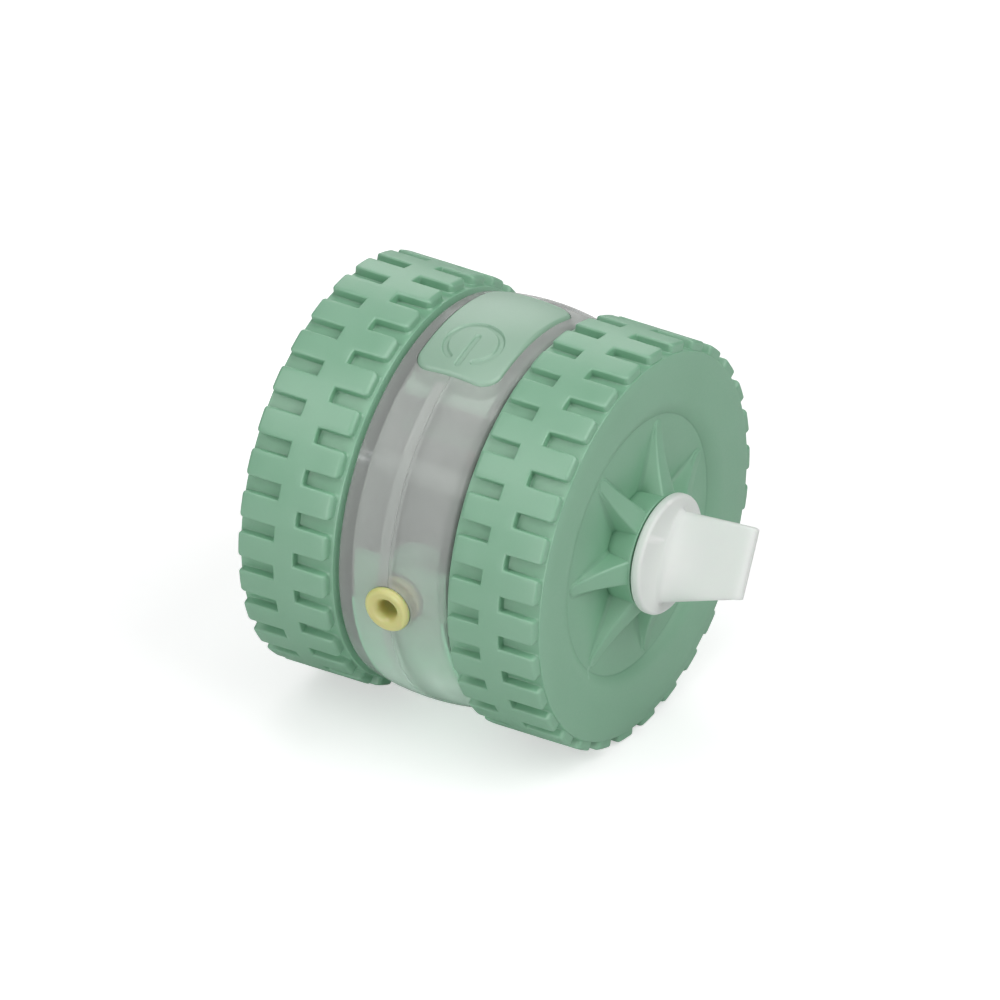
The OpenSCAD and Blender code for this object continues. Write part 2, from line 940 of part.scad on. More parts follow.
module tact_switch() {
    color(grey_plastic)
        translate([0, mark_y, axle_z])
            difference() {
                translate([0, 0, board_top])
                    linear_extrude(switch_h)
                        rounded_rect([switch_w, switch_w], 0.5);
                disc(plunger_r + 0.1, well_floor, board_top + switch_h + 1);
            }
}

module switch_plunger() {
    color(black)
        translate([0, mark_y, axle_z])
            disc(plunger_r, plunger_low, plunger_top);
}

// A fixed hollow axle with its flange on the drum's end wall
module axle(side) {
    color(grey_plastic)
        on_axle(side)
            difference() {
                union() {
                    disc(axle_r, drum_half, axle_end_x);
                    disc(axle_flange_r, drum_half, drum_half + flange_t);
                }
                disc(axle_bore_r, ledge_x, axle_end_x + 1);
                disc(lead_bore_r, drum_half - 1, ledge_x + 1);
                tube(axle_r - 0.6, axle_r + 1, retainer_x - fit, retainer_x + retainer_t + fit);
                for (k = [0 : axle_screw_count - 1])
                    rotate(k * 360 / axle_screw_count)
                        translate([axle_screw_r, 0, 0]) {
                            disc(axle_screw[0] + fit, drum_half - 1, axle_end_x);
                            disc(axle_screw[1] + fit, drum_half + flange_t - axle_screw[2] - fit, ledge_x);
                        }
            }
}

module axle_screws() {
    color(steel)
        for (side = [-1, 1], k = [0 : axle_screw_count - 1])
            on_axle(side)
                rotate(k * 360 / axle_screw_count)
                    translate([axle_screw_r, 0, 0])
                        screw(axle_screw, inner_half + 0.1, drum_half + flange_t);
}

// A split ring snapped into the axle's groove
module retainer(side) {
    color(steel)
        on_axle(side)
            difference() {
                tube(axle_r - 0.6 + fit, sleeve_out_r - 0.5, retainer_x, retainer_x + retainer_t);
                translate([0, -axle_r, retainer_x + retainer_t / 2])
                    cube([3, axle_d, 2 * retainer_t], center = true);
            }
}

module bush(side) {
    color(white_plastic)
        on_axle(side)
            tube(bush_in_r, bush_out_r, sleeve_x0, sleeve_x1);
}

module rim_outline() {
    web_x = back_x - fit;
    web_hub_x = back_hub_x - fit;
    wall = rim_wall - 0.4;
    translate([rim_in_r, tyre_x + 0.3])
        square([rim_out_r - rim_in_r, web_x - tyre_x - 0.3]);
    polygon([
        [rim_out_r - 0.5, web_x],
        [dish_r, web_x],
        [collar_in_r, web_hub_x],
        [sleeve_in_r + 0.4, web_hub_x],
        [sleeve_in_r + 0.4, web_hub_x - wall],
        [collar_in_r, web_hub_x - wall],
        [dish_r, web_x - wall],
        [rim_out_r - 0.5, web_x - wall]
    ]);
    translate([sleeve_in_r, sleeve_x0])
        square([sleeve_wall, sleeve_x1 - sleeve_x0]);
}

module rim(side) {
    color(white_plastic)
        on_axle(side)
            rotate_extrude()
                rim_outline();
}

module axle_left() axle(-1);
module axle_right() axle(1);
module retainer_left() retainer(-1);
module retainer_right() retainer(1);
module bush_left() bush(-1);
module bush_right() bush(1);
module rim_left() rim(-1);
module rim_right() rim(1);

// The tyre's section without its lugs: tread floor, sidewall, rolled lip, dish and collar
module tyre_outline() {
    corner = 0.8;
    lip_steps = 6;
    polygon([
        [tyre_in_r, tyre_x],
        [floor_r - corner, tyre_x],
        [floor_r, tyre_x + corner],
        [floor_r, side_x - corner],
        [floor_r - corner, side_x],
        for (i = [0 : lip_steps])
            let (t = i / lip_steps)
            [lip_r - lip_w * t, side_x - lip_depth * (1 - cos(90 * t))],
        [collar_out_r, dish_x(collar_out_r)],
        [collar_out_r, hub_x],
        [collar_in_r, hub_x],
        [collar_in_r, back_hub_x],
        [dish_r, back_x],
        [tyre_in_r, back_x]
    ]);
}

// Slots of one tread row, starting at a place along the axle
module slot_row(start, turn) {
    translate([0, 0, start])
        linear_extrude(slot_len)
            for (k = [0 : lug_count - 1])
                rotate(180 + turn + k * 360 / lug_count)
                    translate([floor_r - lug_sink - 1, -slot_w / 2])
                        square([tread_depth + lug_sink + 2, slot_w]);
}

module lugs() {
    start = tyre_x;
    end = side_x - ledge_w;
    difference() {
        rotate_extrude()
            translate([(floor_r - lug_sink + tyre_r) / 2, (start + end) / 2])
                rounded_rect([tread_depth + lug_sink, end - start], min(shoulder_r, (tread_depth + lug_sink) / 2));
        slot_row(start - 0.1, tread_turn);
        slot_row(end - slot_len + 0.1, tread_turn + 180 / lug_count);
    }
}

// A tapered rib on the dish, rising in a curve to the collar
module rib() {
    tip_r = dish_r - 0.6;
    root_r = collar_out_r - 0.6;
    below_hub = 0.2;
    sweep = 1.4;
    rise = hub_x - below_hub - dish_x(tip_r);
    steps = 8;
    low = 0.9;
    intersection() {
        rotate([90, 0, 0])
            linear_extrude(2 * rib_root_w, center = true)
                polygon([
                    for (i = [0 : steps])
                        let (t = i / steps)
                        [tip_r + (root_r - tip_r) * t, dish_x(tip_r) + 0.1 + rise * pow(t, sweep)],
                    [root_r, dish_x(collar_out_r) - low],
                    [tip_r, dish_x(tip_r) - low]
                ]);
        linear_extrude(2 * hub_x)
            polygon([
                [tip_r, -rib_tip_w / 2],
                [tip_r, rib_tip_w / 2],
                [root_r, rib_root_w / 2],
                [root_r, -rib_root_w / 2]
            ]);
    }
}

module tyre(side) {
    color(tyre_green)
        on_axle(side) {
            rotate_extrude()
                tyre_outline();
            lugs();
            for (k = [0 : rib_count - 1])
                rotate(180 + rib_turn + k * 360 / rib_count)
                    rib();
        }
}

module tyre_left() tyre(-1);
module tyre_right() tyre(1);

module charge_board() {
    color(board_green)
        on_axle(1)
            disc(axle_bore_r - fit, ledge_x + fit, ledge_x + fit + charge_board_t);
}

module charge_socket() {
    low = ledge_x + fit + charge_board_t;
    color(steel)
        on_axle(1)
            translate([0, 0, low]) {
                difference() {
                    linear_extrude(socket_len)
                        rounded_rect([socket_h, socket_w], socket_h / 2 - 0.01);
                    translate([0, 0, 1])
                        linear_extrude(socket_len)
                            rounded_rect(
                                [socket_h - 2 * socket_wall, socket_w - 2 * socket_wall],
                                socket_h / 2 - socket_wall - 0.01
                            );
                }
                linear_extrude(socket_len - 0.8)
                    square([0.7, socket_w - 2.2], center = true);
            }
}

// Flange, seat and stem of the pieces that close the axles' ends
module axle_stopper(edge) {
    stem_x = axle_end_x + fit;
    disc(axle_bore_r - fit, stem_x - stem_len, flange_x + 0.5);
    disc(axle_r, stem_x, flange_x + 0.5);
    rotate_extrude()
        intersection() {
            translate([0, flange_x + plug_t / 2])
                rounded_rect([plug_d, plug_t], edge);
            translate([0, flange_x])
                square([plug_d, plug_t]);
        }
}

module axle_cap_left() {
    color(soft_white)
        on_axle(-1)
            axle_stopper(0.7);
}

module tab_slice(x, up, down, thick) {
    r = min(thick / 2, 1.6);
    translate([-(up - down) / 2, 0, x])
        linear_extrude(0.4)
            rounded_rect([up + down, thick], r - 0.01);
}

// The pull tab, lofted from a broad base to a thinner end
module side_plug() {
    root_x = flange_x + plug_t - 0.3;
    end_x = flange_x + plug_t + tab_len;
    mid_share = 0.35;
    mid_x = root_x + mid_share * tab_len;
    mid_up = tab_base_up + mid_share * (tab_end_up - tab_base_up);
    mid_down = tab_base_down + mid_share * (tab_end_down - tab_base_down);
    root_t = 1.25 * tab_t;
    mid_t = 0.95 * tab_t;
    end_t = 0.62 * tab_t;
    color(soft_white)
        on_axle(1) {
            axle_stopper(0.7);
            rotate(-tab_lean) {
                hull() {
                    tab_slice(root_x, tab_base_up, tab_base_down, root_t, $fn = 32);
                    tab_slice(mid_x, mid_up, mid_down, mid_t, $fn = 32);
                }
                hull() {
                    tab_slice(mid_x, mid_up, mid_down, mid_t, $fn = 32);
                    tab_slice(end_x - 0.4, tab_end_up, tab_end_down, end_t, $fn = 32);
                }
            }
        }
}

// Routes of the leads, as points from the axle's line in the middle of the drum
battery_route = [
    [1.6, -3, battery_top], [1.6, -3, -15], [1.6, -3, -8], [1.6, -2, 0], [1.6, -2, 10], [1.6, -2, board_rise]
];
motor_route = [
    [-6.4, 18, motor_top], [-6.4, 18, -4], [-6.4, 17, 1], [-6.4, 14, 7], [-6.4, 11, 13], [-6.4, 10, 18],
    [-6.4, 10, board_rise]
];
charge_route = [
    [ledge_x + fit, 1.2, 0], [12, 1.2, 0], [9, 1.2, 0.4], [6.4, 1.2, 2], [5.2, 1.2, 5], [5, 1.2, 10],
    [5, 1.2, board_rise]
];

module battery_leads() {
    color(lead_red)
        for (s = [-1, 1])
            lead([for (p = battery_route) [s * p[0], p[1], p[2]]], [1, 0, 0]);
}

module motor_leads() {
    color(black)
        for (side = [-1, 1], step = [0, 1.6])
            lead([for (p = motor_route) [side * (p[0] - step + 0.6), side * p[1], p[2]]], [1, 0, 0]);
}

module charge_leads() {
    color(lead_red)
        for (s = [-1, 1])
            lead([for (p = charge_route) [p[0], s * p[1], p[2]]], [0, 1, 0]);
}

shell_left();
shell_right();
shell_screws();
power_pad();
rope_eyelet();
inner_tub();
motor_left();
motor_right();
gearbox_left();
gearbox_right();
motor_screws();
motor_clamp();
clamp_screws();
battery();
circuit_board();
board_chips();
status_leds();
tact_switch();
switch_plunger();
axle_left();
axle_right();
axle_screws();
retainer_left();
retainer_right();
charge_board();
charge_socket();
axle_cap_left();
battery_leads();
motor_leads();
charge_leads();
output_shaft_left();
output_shaft_right();
pinion_left();
pinion_right();
bush_left();
bush_right();
rim_left();
rim_right();
ring_gear_left();
ring_gear_right();
tyre_left();
tyre_right();
side_plug();
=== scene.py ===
import math

import bmesh
import bpy
from mathutils import Matrix, Vector


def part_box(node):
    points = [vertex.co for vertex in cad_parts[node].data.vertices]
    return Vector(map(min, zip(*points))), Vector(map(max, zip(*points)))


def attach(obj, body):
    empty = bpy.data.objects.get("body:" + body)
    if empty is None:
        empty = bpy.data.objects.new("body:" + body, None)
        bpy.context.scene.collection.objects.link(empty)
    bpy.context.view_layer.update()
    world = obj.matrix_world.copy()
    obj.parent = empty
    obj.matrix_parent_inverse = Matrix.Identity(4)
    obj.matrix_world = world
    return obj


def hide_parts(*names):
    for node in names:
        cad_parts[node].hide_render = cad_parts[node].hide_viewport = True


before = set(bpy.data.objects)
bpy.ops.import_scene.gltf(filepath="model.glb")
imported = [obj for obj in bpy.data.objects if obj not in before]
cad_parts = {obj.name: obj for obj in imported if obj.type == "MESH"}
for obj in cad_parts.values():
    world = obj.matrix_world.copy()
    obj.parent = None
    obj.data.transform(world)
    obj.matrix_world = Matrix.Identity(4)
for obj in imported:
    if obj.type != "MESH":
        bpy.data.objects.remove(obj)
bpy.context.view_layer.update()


# The tub and the motor clamp. The tub is a half-round tray in pale green plastic that carries the
# battery and both motors; the clamp is a grey frame screwed down over them. Both are injection moulded.

def paint(red, green, blue):
    """A colour given in screen values, as the linear colour that a shader takes."""
    steps = [value / 255 for value in (red, green, blue)]
    linear = [c / 12.92 if c <= 0.04045 else ((c + 0.055) / 1.055) ** 2.4 for c in steps]
    return (*linear, 1.0)


def make_grain_group():
    """Pores, slow cloudy tone and uneven gloss, as every moulded skin here shows them."""
    group = bpy.data.node_groups.new("moulded_grain", "ShaderNodeTree")
    new_socket = group.interface.new_socket
    new_socket("Vector", in_out="INPUT", socket_type="NodeSocketVector")
    for name in ("Pores", "Clouds", "Roughness", "Spread"):
        new_socket(name, in_out="INPUT", socket_type="NodeSocketFloat")
    for name in ("Tone", "Roughness", "Height"):
        new_socket(name, in_out="OUTPUT", socket_type="NodeSocketFloat")
    add = group.nodes.new
    link = group.links.new
    given = add("NodeGroupInput")
    result = add("NodeGroupOutput")
    pores = add("ShaderNodeTexNoise")
    pores.inputs["Detail"].default_value = 3
    clouds = add("ShaderNodeTexNoise")
    clouds.inputs["Detail"].default_value = 4
    tone = add("ShaderNodeMapRange")
    tone.inputs["From Min"].default_value = 0.3
    tone.inputs["From Max"].default_value = 0.7
    mixed = add("ShaderNodeMath")
    mixed.operation = "ADD"
    centred = add("ShaderNodeMath")
    centred.operation = "SUBTRACT"
    centred.inputs[1].default_value = 1
    gloss = add("ShaderNodeMath")
    gloss.operation = "MULTIPLY_ADD"
    link(given.outputs["Vector"], pores.inputs["Vector"])
    link(given.outputs["Vector"], clouds.inputs["Vector"])
    link(given.outputs["Pores"], pores.inputs["Scale"])
    link(given.outputs["Clouds"], clouds.inputs["Scale"])
    link(clouds.outputs["Fac"], tone.inputs["Value"])
    link(pores.outputs["Fac"], mixed.inputs[0])
    link(clouds.outputs["Fac"], mixed.inputs[1])
    link(mixed.outputs[0], centred.inputs[0])
    link(centred.outputs[0], gloss.inputs[0])
    link(given.outputs["Spread"], gloss.inputs[1])
    link(given.outputs["Roughness"], gloss.inputs[2])
    link(tone.outputs["Result"], result.inputs["Tone"])
    link(gloss.outputs[0], result.inputs["Roughness"])
    link(pores.outputs["Fac"], result.inputs["Height"])
    return group


grain_group = make_grain_group()


def start_finish(name):
    """A new material with its shader, and a socket that gives Object coordinates."""
    finish = bpy.data.materials.new(name)
    finish.use_nodes = True
    tree = finish.node_tree
    place = tree.nodes.new("ShaderNodeTexCoord").outputs["Object"]
    return finish, tree, tree.nodes["Principled BSDF"], place


def add_grain(tree, place, pores, clouds, roughness, spread):
    """Places the grain group in a material, with its values."""
    grain = tree.nodes.new("ShaderNodeGroup")
    grain.node_tree = grain_group
    tree.links.new(place, grain.inputs["Vector"])
    grain.inputs["Pores"].default_value = pores
    grain.inputs["Clouds"].default_value = clouds
    grain.inputs["Roughness"].default_value = roughness
    grain.inputs["Spread"].default_value = spread
    return grain


def add_bump(tree, height, shader, depth, strength):
    """Raises a height on the shader's normal."""
    bump = tree.nodes.new("ShaderNodeBump")
    bump.inputs["Distance"].default_value = depth
    bump.inputs["Strength"].default_value = strength
    tree.links.new(height, bump.inputs["Height"])
    tree.links.new(bump.outputs["Normal"], shader.inputs["Normal"])


def mix_colours(tree, factor, first, second):
    """A colour between two, by a mask."""
    colour_sockets = (6, 7)
    result_socket = 2
    mix = tree.nodes.new("ShaderNodeMix")
    mix.data_type = "RGBA"
    tree.links.new(factor, mix.inputs["Factor"])
    for index, colour in zip(colour_sockets, (first, second)):
        socket = mix.inputs[index]
        if isinstance(colour, bpy.types.NodeSocket):
            tree.links.new(colour, socket)
        else:
            socket.default_value = colour
    return mix.outputs[result_socket]


def moulded(name, dark, light, roughness, pores=2500, metallic=0.0):
    """A grained skin whose colour drifts between two close shades."""
    finish, tree, shader, place = start_finish(name)
    grain = add_grain(tree, place, pores, clouds=60, roughness=roughness, spread=0.25)
    tree.links.new(mix_colours(tree, grain.outputs["Tone"], dark, light), shader.inputs["Base Color"])
    tree.links.new(grain.outputs["Roughness"], shader.inputs["Roughness"])
    shader.inputs["Metallic"].default_value = metallic
    add_bump(tree, grain.outputs["Height"], shader, depth=0.00005, strength=0.3)
    return finish


def dress(finish, *nodes):
    """Gives nodes of the frame a finish."""
    for node in nodes:
        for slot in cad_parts[node].material_slots:
            slot.material = finish


dress(moulded("tub_plastic", paint(150, 222, 182), paint(162, 228, 192), roughness=0.5), "inner_tub")
grey_plastic = moulded("grey_plastic", paint(128, 131, 129), paint(142, 145, 143), roughness=0.5)
dress(grey_plastic, "motor_clamp")


# The two gearmotors. Each is a flat-sided plated steel can with a brass gearbox pressed on its end, and
# a steel output shaft, held by two small screws through the drum's end wall. All of it is bought in.

motor_steel = moulded("motor_steel", paint(170, 172, 173), paint(194, 195, 196),
                      roughness=0.45, pores=900, metallic=0.5)
dress(motor_steel, "motor_left", "motor_right", "output_shaft_left", "output_shaft_right")
gearbox_brass = moulded("gearbox_brass", paint(184, 150, 84), paint(214, 182, 112),
                        roughness=0.35, pores=900, metallic=1.0)
dress(gearbox_brass, "gearbox_left", "gearbox_right")


# The battery, a flat lithium cell in black shrink wrap. It is bought in and lies in the bottom of the
# tub, low down, so that its weight keeps the drum upright between the wheels.

dress(moulded("battery_wrap", paint(26, 26, 29), paint(40, 41, 44), roughness=0.35, pores=600), "battery")


# The boards and what is soldered on them: green solder-masked laminate, black chips, clear lamp
# lenses, a tact switch under the pad with its plunger, and the steel charging socket.

dress(moulded("board_laminate", paint(24, 92, 56), paint(36, 112, 70), roughness=0.35, pores=1500),
      "circuit_board", "charge_board")
dress(moulded("chip_black", paint(24, 24, 26), paint(38, 38, 40), roughness=0.45), "board_chips")
dress(moulded("led_lens", paint(214, 216, 210), paint(232, 234, 228), roughness=0.15), "status_leds")
dress(grey_plastic, "tact_switch", "switch_plunger")
dress(motor_steel, "charge_socket")


# The leads, stranded copper in soft insulation: red to the battery and the socket, black to the
# motors. They are soldered at both ends and lie inside the drum.

dress(moulded("lead_red", paint(166, 30, 26), paint(188, 44, 38), roughness=0.45),
      "battery_leads", "charge_leads")
dress(moulded("lead_black", paint(24, 24, 26), paint(36, 36, 38), roughness=0.45), "motor_leads")


# The screws, pan heads in zinc-plated steel with cross recesses. They hold the shell halves together,
# the clamp down on the tub, and the motors and axles on the drum's end walls.

screw_steel = moulded("screw_steel", paint(176, 178, 181), paint(206, 207, 209),
                      roughness=0.32, pores=1200, metallic=1.0)
dress(screw_steel, "shell_screws", "motor_screws", "clamp_screws", "axle_screws")


# The running gear hidden in the wheels: fixed hollow axles with their retaining rings, and in each
# wheel a bush, a rim and a ring gear driven by a pinion. All are moulded in hard plastic.

dress(grey_plastic, "axle_left", "axle_right", "retainer_left", "retainer_right")
dress(moulded("wheel_plastic", paint(212, 214, 209), paint(228, 229, 225), roughness=0.45),
      "rim_left", "rim_right", "ring_gear_left", "ring_gear_right", "bush_left", "bush_right",
      "pinion_left", "pinion_right")


# The drum, two barrel halves moulded in smoky translucent plastic with a frosted skin. They meet at
# the middle, where a tongue on the right half slides under the left one, and four screws in bosses
# hold them. A long opening on top takes the pad and a round one in front takes the eyelet.

tyre_lo, tyre_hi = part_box("tyre_right")
axle = Vector((0, 0, (tyre_lo.z + tyre_hi.z) / 2))
shell_lo, shell_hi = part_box("shell_right")
drum_half = shell_hi.x
drum_r = shell_hi.y
bow_r = 0.04505
bow_steps = 20
wall_thick = 0.0034
wall_in_r = drum_r - wall_thick
end_thick = 0.002
wall_in_x = drum_half - end_thick
wall_chamfer = 0.001
lead_hole_r = 0.0045
wall_over_tongue = 0.0018
tongue_r = drum_r - wall_over_tongue
tongue_len = -shell_lo.x
tongue_chamfer = 0.0002
seam_half = 0.00003
seam_round = 0.0001
seam_fall = 0.00002
slide_fit = 0.0001
edge_round = 0.0011
cut_past = 0.003
merge_reach = 0.000002
# How far below the axle the shell's painted glow grows full.
painted_glow_drop = 0.034
clear_tints = (paint(208, 212, 209), paint(216, 219, 216))
# The lighter, greener tint of the shell's painted glow low down.
painted_glow_tint = paint(232, 251, 240)
shadow_alpha = 0.3
pad_lo, pad_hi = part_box("power_pad")
pad_inset = 0.0003
pad_w = pad_hi.x - pad_lo.x - 2 * pad_inset
pad_len = 0.0316
pad_corner = 0.0038
pad_gap = 0.00015
boss_r = 0.0024
boss_sunk = 0.0005
boss_high_y, boss_high_z = 0.024, 0.018
boss_low_y = 0.019
boss_under_cell = 0.0026
boss_low_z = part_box("battery")[1].z - axle.z - boss_under_cell
boss_places = ((-boss_high_y, boss_high_z), (boss_high_y, boss_high_z),
               (-boss_low_y, boss_low_z), (boss_low_y, boss_low_z))
eyelet_turn = 95
eyelet_r = 0.0047
eyelet_neck_r = 0.0034
eyelet_seat = 0.0382


def ring_point(x, r, turn=0.0):
    """A point round the axle, turned from the top towards the front, in degrees."""
    angle = math.radians(turn)
    return Vector((x, -r * math.sin(angle), axle.z + r * math.cos(angle)))


def turn_of(point):
    """How far round the axle a point lies, in degrees from the top towards the front."""
    return math.degrees(math.atan2(-point.y, point.z - axle.z))


def radius_of(point):
    """How far from the axle's line a point lies."""
    return math.hypot(point.y, point.z - axle.z)


def bow_drop(x):
    """How much the barrel has narrowed at a distance from its middle."""
    return bow_r - math.sqrt(bow_r * bow_r - x * x)


def arc(centre, r, start, end, steps):
    """Points of a rounded corner in an outline, from one angle to another."""
    angles = [math.radians(start + (end - start) * i / steps) for i in range(steps + 1)]
    return [(centre[0] + r * math.cos(a), centre[1] + r * math.sin(a)) for a in angles]


def trace(name, points):
    """Draws an outline by pulling one point along it, and leaves it open in edit mode."""
    bpy.ops.object.select_all(action="DESELECT")
    bpy.ops.mesh.primitive_plane_add(size=0.001, location=points[0])
    piece = bpy.context.object
    piece.name = name
    piece.data.name = name
    bpy.ops.object.transform_apply(location=True, rotation=True, scale=True)
    bpy.ops.object.mode_set(mode="EDIT")
    bpy.ops.mesh.select_mode(type="VERT")
    bpy.ops.mesh.select_all(action="SELECT")
    bpy.ops.mesh.merge(type="CENTER")
    for here, there in zip(points, points[1:]):
        bpy.ops.mesh.extrude_vertices_move(TRANSFORM_OT_translate={"value": there - here})
    bpy.ops.mesh.select_all(action="SELECT")
    return piece


def turn_round(steps, axis=(1, 0, 0)):
    """Spins the outline in edit mode once round the axle's middle."""
    bpy.ops.mesh.select_all(action="SELECT")
    bpy.ops.mesh.spin(steps=steps, angle=2 * math.pi, center=axle, axis=axis)


def merge_all():
    """Selects all of the mesh in edit mode and merges the points that meet."""
    bpy.ops.mesh.select_all(action="SELECT")
    bpy.ops.mesh.remove_doubles(threshold=merge_reach)


def close_piece(smooth_angle=35):
    """Merges what meets, turns all faces outwards and leaves edit mode with soft shading."""
    merge_all()
    bpy.ops.mesh.normals_make_consistent(inside=False)
    bpy.ops.object.mode_set(mode="OBJECT")
    bpy.ops.object.shade_smooth_by_angle(angle=math.radians(smooth_angle))


def apply_to(piece, kind, **values):
    """Adds a modifier to a piece and applies it."""
    bpy.ops.object.select_all(action="DESELECT")
    piece.select_set(True)
    bpy.context.view_layer.objects.active = piece
    change = piece.modifiers.new(kind.lower(), kind)
    for name, value in values.items():
        setattr(change, name, value)
    bpy.ops.object.modifier_apply(modifier=change.name)


def cut(piece, tool, operation="DIFFERENCE"):
    """Cuts a piece with a tool, or joins them, and removes the tool."""
    apply_to(piece, "BOOLEAN", object=tool, operation=operation, solver="EXACT")
    bpy.data.objects.remove(tool)


def rod(r, ends, sides=48):
    """A round bar between two points, to cut with or to join on."""
    low, high = (Vector(end) for end in ends)
    bpy.ops.object.select_all(action="DESELECT")
    turn = (high - low).to_track_quat("Z", "Y").to_euler()
    bpy.ops.mesh.primitive_cylinder_add(vertices=sides, radius=r, depth=(high - low).length,
                                        location=(low + high) / 2, rotation=turn)
    bpy.ops.object.transform_apply(location=True, rotation=True, scale=True)
    return bpy.context.object


def pick_edges(test):
    """Leaves selected only the edges that pass a test."""
    bpy.ops.mesh.select_mode(type="EDGE")
    bpy.ops.mesh.select_all(action="DESELECT")
    mesh = bpy.context.edit_object.data
    sheet = bmesh.from_edit_mesh(mesh)
    for edge in sheet.edges:
        if test(edge):
            edge.select_set(True)
    bmesh.update_edit_mesh(mesh)


def shell_half(name, side):
    """One half of the drum: its outline spun round the axle, with bosses, and the openings cut."""
    bow_end = drum_half - edge_round
    shares = [i / bow_steps for i in range(bow_steps + 1)]
    bow = [bow_end * (1 - share) + seam_half * 2 * share for share in shares]
    end_r = drum_r - bow_drop(bow_end)
    outline = [(wall_in_x, lead_hole_r), (drum_half, lead_hole_r), (drum_half, end_r - edge_round)]
    outline += arc((bow_end, end_r - edge_round), edge_round, start=15, end=75, steps=4)
    outline += [(x, drum_r - bow_drop(x)) for x in bow[1:-1]]
    outline += [(seam_half + seam_round, drum_r - seam_fall), (seam_half, drum_r - seam_round)]
    if side > 0:
        outline += [(seam_half, tongue_r), (-tongue_len + tongue_chamfer, tongue_r),
                    (-tongue_len, tongue_r - tongue_chamfer), (-tongue_len, wall_in_r)]
    else:
        outline += [(seam_half, tongue_r + slide_fit), (tongue_len + slide_fit, tongue_r + slide_fit),
                    (tongue_len + slide_fit, wall_in_r)]
    outline += [(wall_in_x - wall_chamfer, wall_in_r), (wall_in_x, wall_in_r - wall_chamfer),
                (wall_in_x, lead_hole_r)]
    piece = trace(name, [ring_point(side * x, r) for x, r in outline])
    turn_round(steps=180)
    close_piece()
    for y, z in boss_places:
        middle = axle + Vector((0, y, z))
        ends = [middle + Vector((side * x, 0, 0)) for x in (seam_half, wall_in_x + boss_sunk)]
        cut(piece, rod(boss_r, ends, sides=32), "UNION")
    bpy.ops.object.select_all(action="DESELECT")
    bpy.ops.mesh.primitive_cube_add(size=1, location=axle + Vector((0, 0, drum_r)))
    opening = bpy.context.object
    opening.scale = (pad_w + 2 * pad_gap, pad_len + 2 * pad_gap, drum_r)
    bpy.ops.object.transform_apply(location=True, rotation=True, scale=True)
    bpy.ops.object.mode_set(mode="EDIT")
    pick_edges(lambda edge: abs(edge.verts[0].co.z - edge.verts[1].co.z) > drum_r / 2)
    bpy.ops.mesh.bevel(offset=pad_corner + pad_gap, segments=8)
    bpy.ops.object.mode_set(mode="OBJECT")
    cut(piece, opening)
    for r, low in ((eyelet_neck_r + slide_fit, drum_r / 2), (eyelet_r + slide_fit, eyelet_seat)):
        ends = [ring_point(0, h, eyelet_turn) for h in (low, drum_r + cut_past)]
        cut(piece, rod(r, ends, sides=64))
    bpy.ops.object.mode_set(mode="EDIT")
    close_piece()
    return piece


def smoky_plastic():
    """Frosted translucent plastic that lets light in; low down, next to the tub, a painted glow turns its
    tint lighter and green.
    """
    finish, tree, shader, place = start_finish("drum_shell")
    grain = add_grain(tree, place, pores=4200, clouds=45, roughness=0.19, spread=0.1)
    clear_tint = mix_colours(tree, grain.outputs["Tone"], *clear_tints)
    split = tree.nodes.new("ShaderNodeSeparateXYZ")
    tree.links.new(place, split.inputs["Vector"])
    # Lighter and greener towards the bottom: a painted glow for the light of the tub and the floor through
    # the shell.
    painted_glow_mask = tree.nodes.new("ShaderNodeMapRange")
    painted_glow_mask.interpolation_type = "SMOOTHSTEP"
    painted_glow_mask.inputs["From Min"].default_value = axle.z
    painted_glow_mask.inputs["From Max"].default_value = axle.z - painted_glow_drop
    tree.links.new(split.outputs["Z"], painted_glow_mask.inputs["Value"])
    tint = mix_colours(tree, painted_glow_mask.outputs["Result"], clear_tint, painted_glow_tint)
    tree.links.new(tint, shader.inputs["Base Color"])
    tree.links.new(grain.outputs["Roughness"], shader.inputs["Roughness"])
    let_in = tree.nodes.new("ShaderNodeMapRange")
    let_in.inputs["To Min"].default_value = 1.0
    let_in.inputs["To Max"].default_value = shadow_alpha
    path = tree.nodes.new("ShaderNodeLightPath")
    tree.links.new(path.outputs["Is Shadow Ray"], let_in.inputs["Value"])
    tree.links.new(let_in.outputs["Result"], shader.inputs["Alpha"])
    shader.inputs["Transmission Weight"].default_value = 0.64
    shader.inputs["IOR"].default_value = 1.12
    add_bump(tree, grain.outputs["Height"], shader, depth=0.000008, strength=0.2)
    return finish


drum_shell = smoky_plastic()
for name, side in (("shell_left", -1), ("shell_right", 1)):
    shell = shell_half("drum_" + name, side)
    shell.data.materials.append(drum_shell)
    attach(shell, "drum")
    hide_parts(name)


# The power pad, a soft silicone key on top of the drum. It is moulded in one piece with a sunken
# power mark, stands a little proud of the shell, and its hidden lips hook under the opening's ends.

pad_r = pad_hi.z - axle.z
pad_depth = 0.0055
lip_top = 0.0355
lip_thick = 0.0012
lip_len = 0.0346
pad_edge = 0.0007
pad_cells = (150, 256)
mark_turn = 11
mark_r = 0.0059
mark_line = 0.0011
mark_bar = (-0.0018, 0.0060)
mark_depth = 0.0004
mark_soft = 0.0001
mark_gap = 29


def smooth_step(value, low, high):
    """Rises softly from 0 at low to 1 at high."""
    t = min(1.0, max(0.0, (value - low) / (high - low)))
    return t * t * (3 - 2 * t)


def mark_distance(x, v):
    """How far a point of the pad lies from the middle line of the power mark's strokes."""
    ring_r = mark_r - mark_line / 2
    angle = math.degrees(math.atan2(abs(x), v))
    if angle >= mark_gap:
        from_ring = abs(math.hypot(x, v) - ring_r)
    else:
        gap = math.radians(mark_gap)
        from_ring = math.hypot(abs(x) - ring_r * math.sin(gap), v - ring_r * math.cos(gap))
    nearest = min(mark_bar[1], max(mark_bar[0], v))
    return min(from_ring, math.hypot(x, v - nearest))


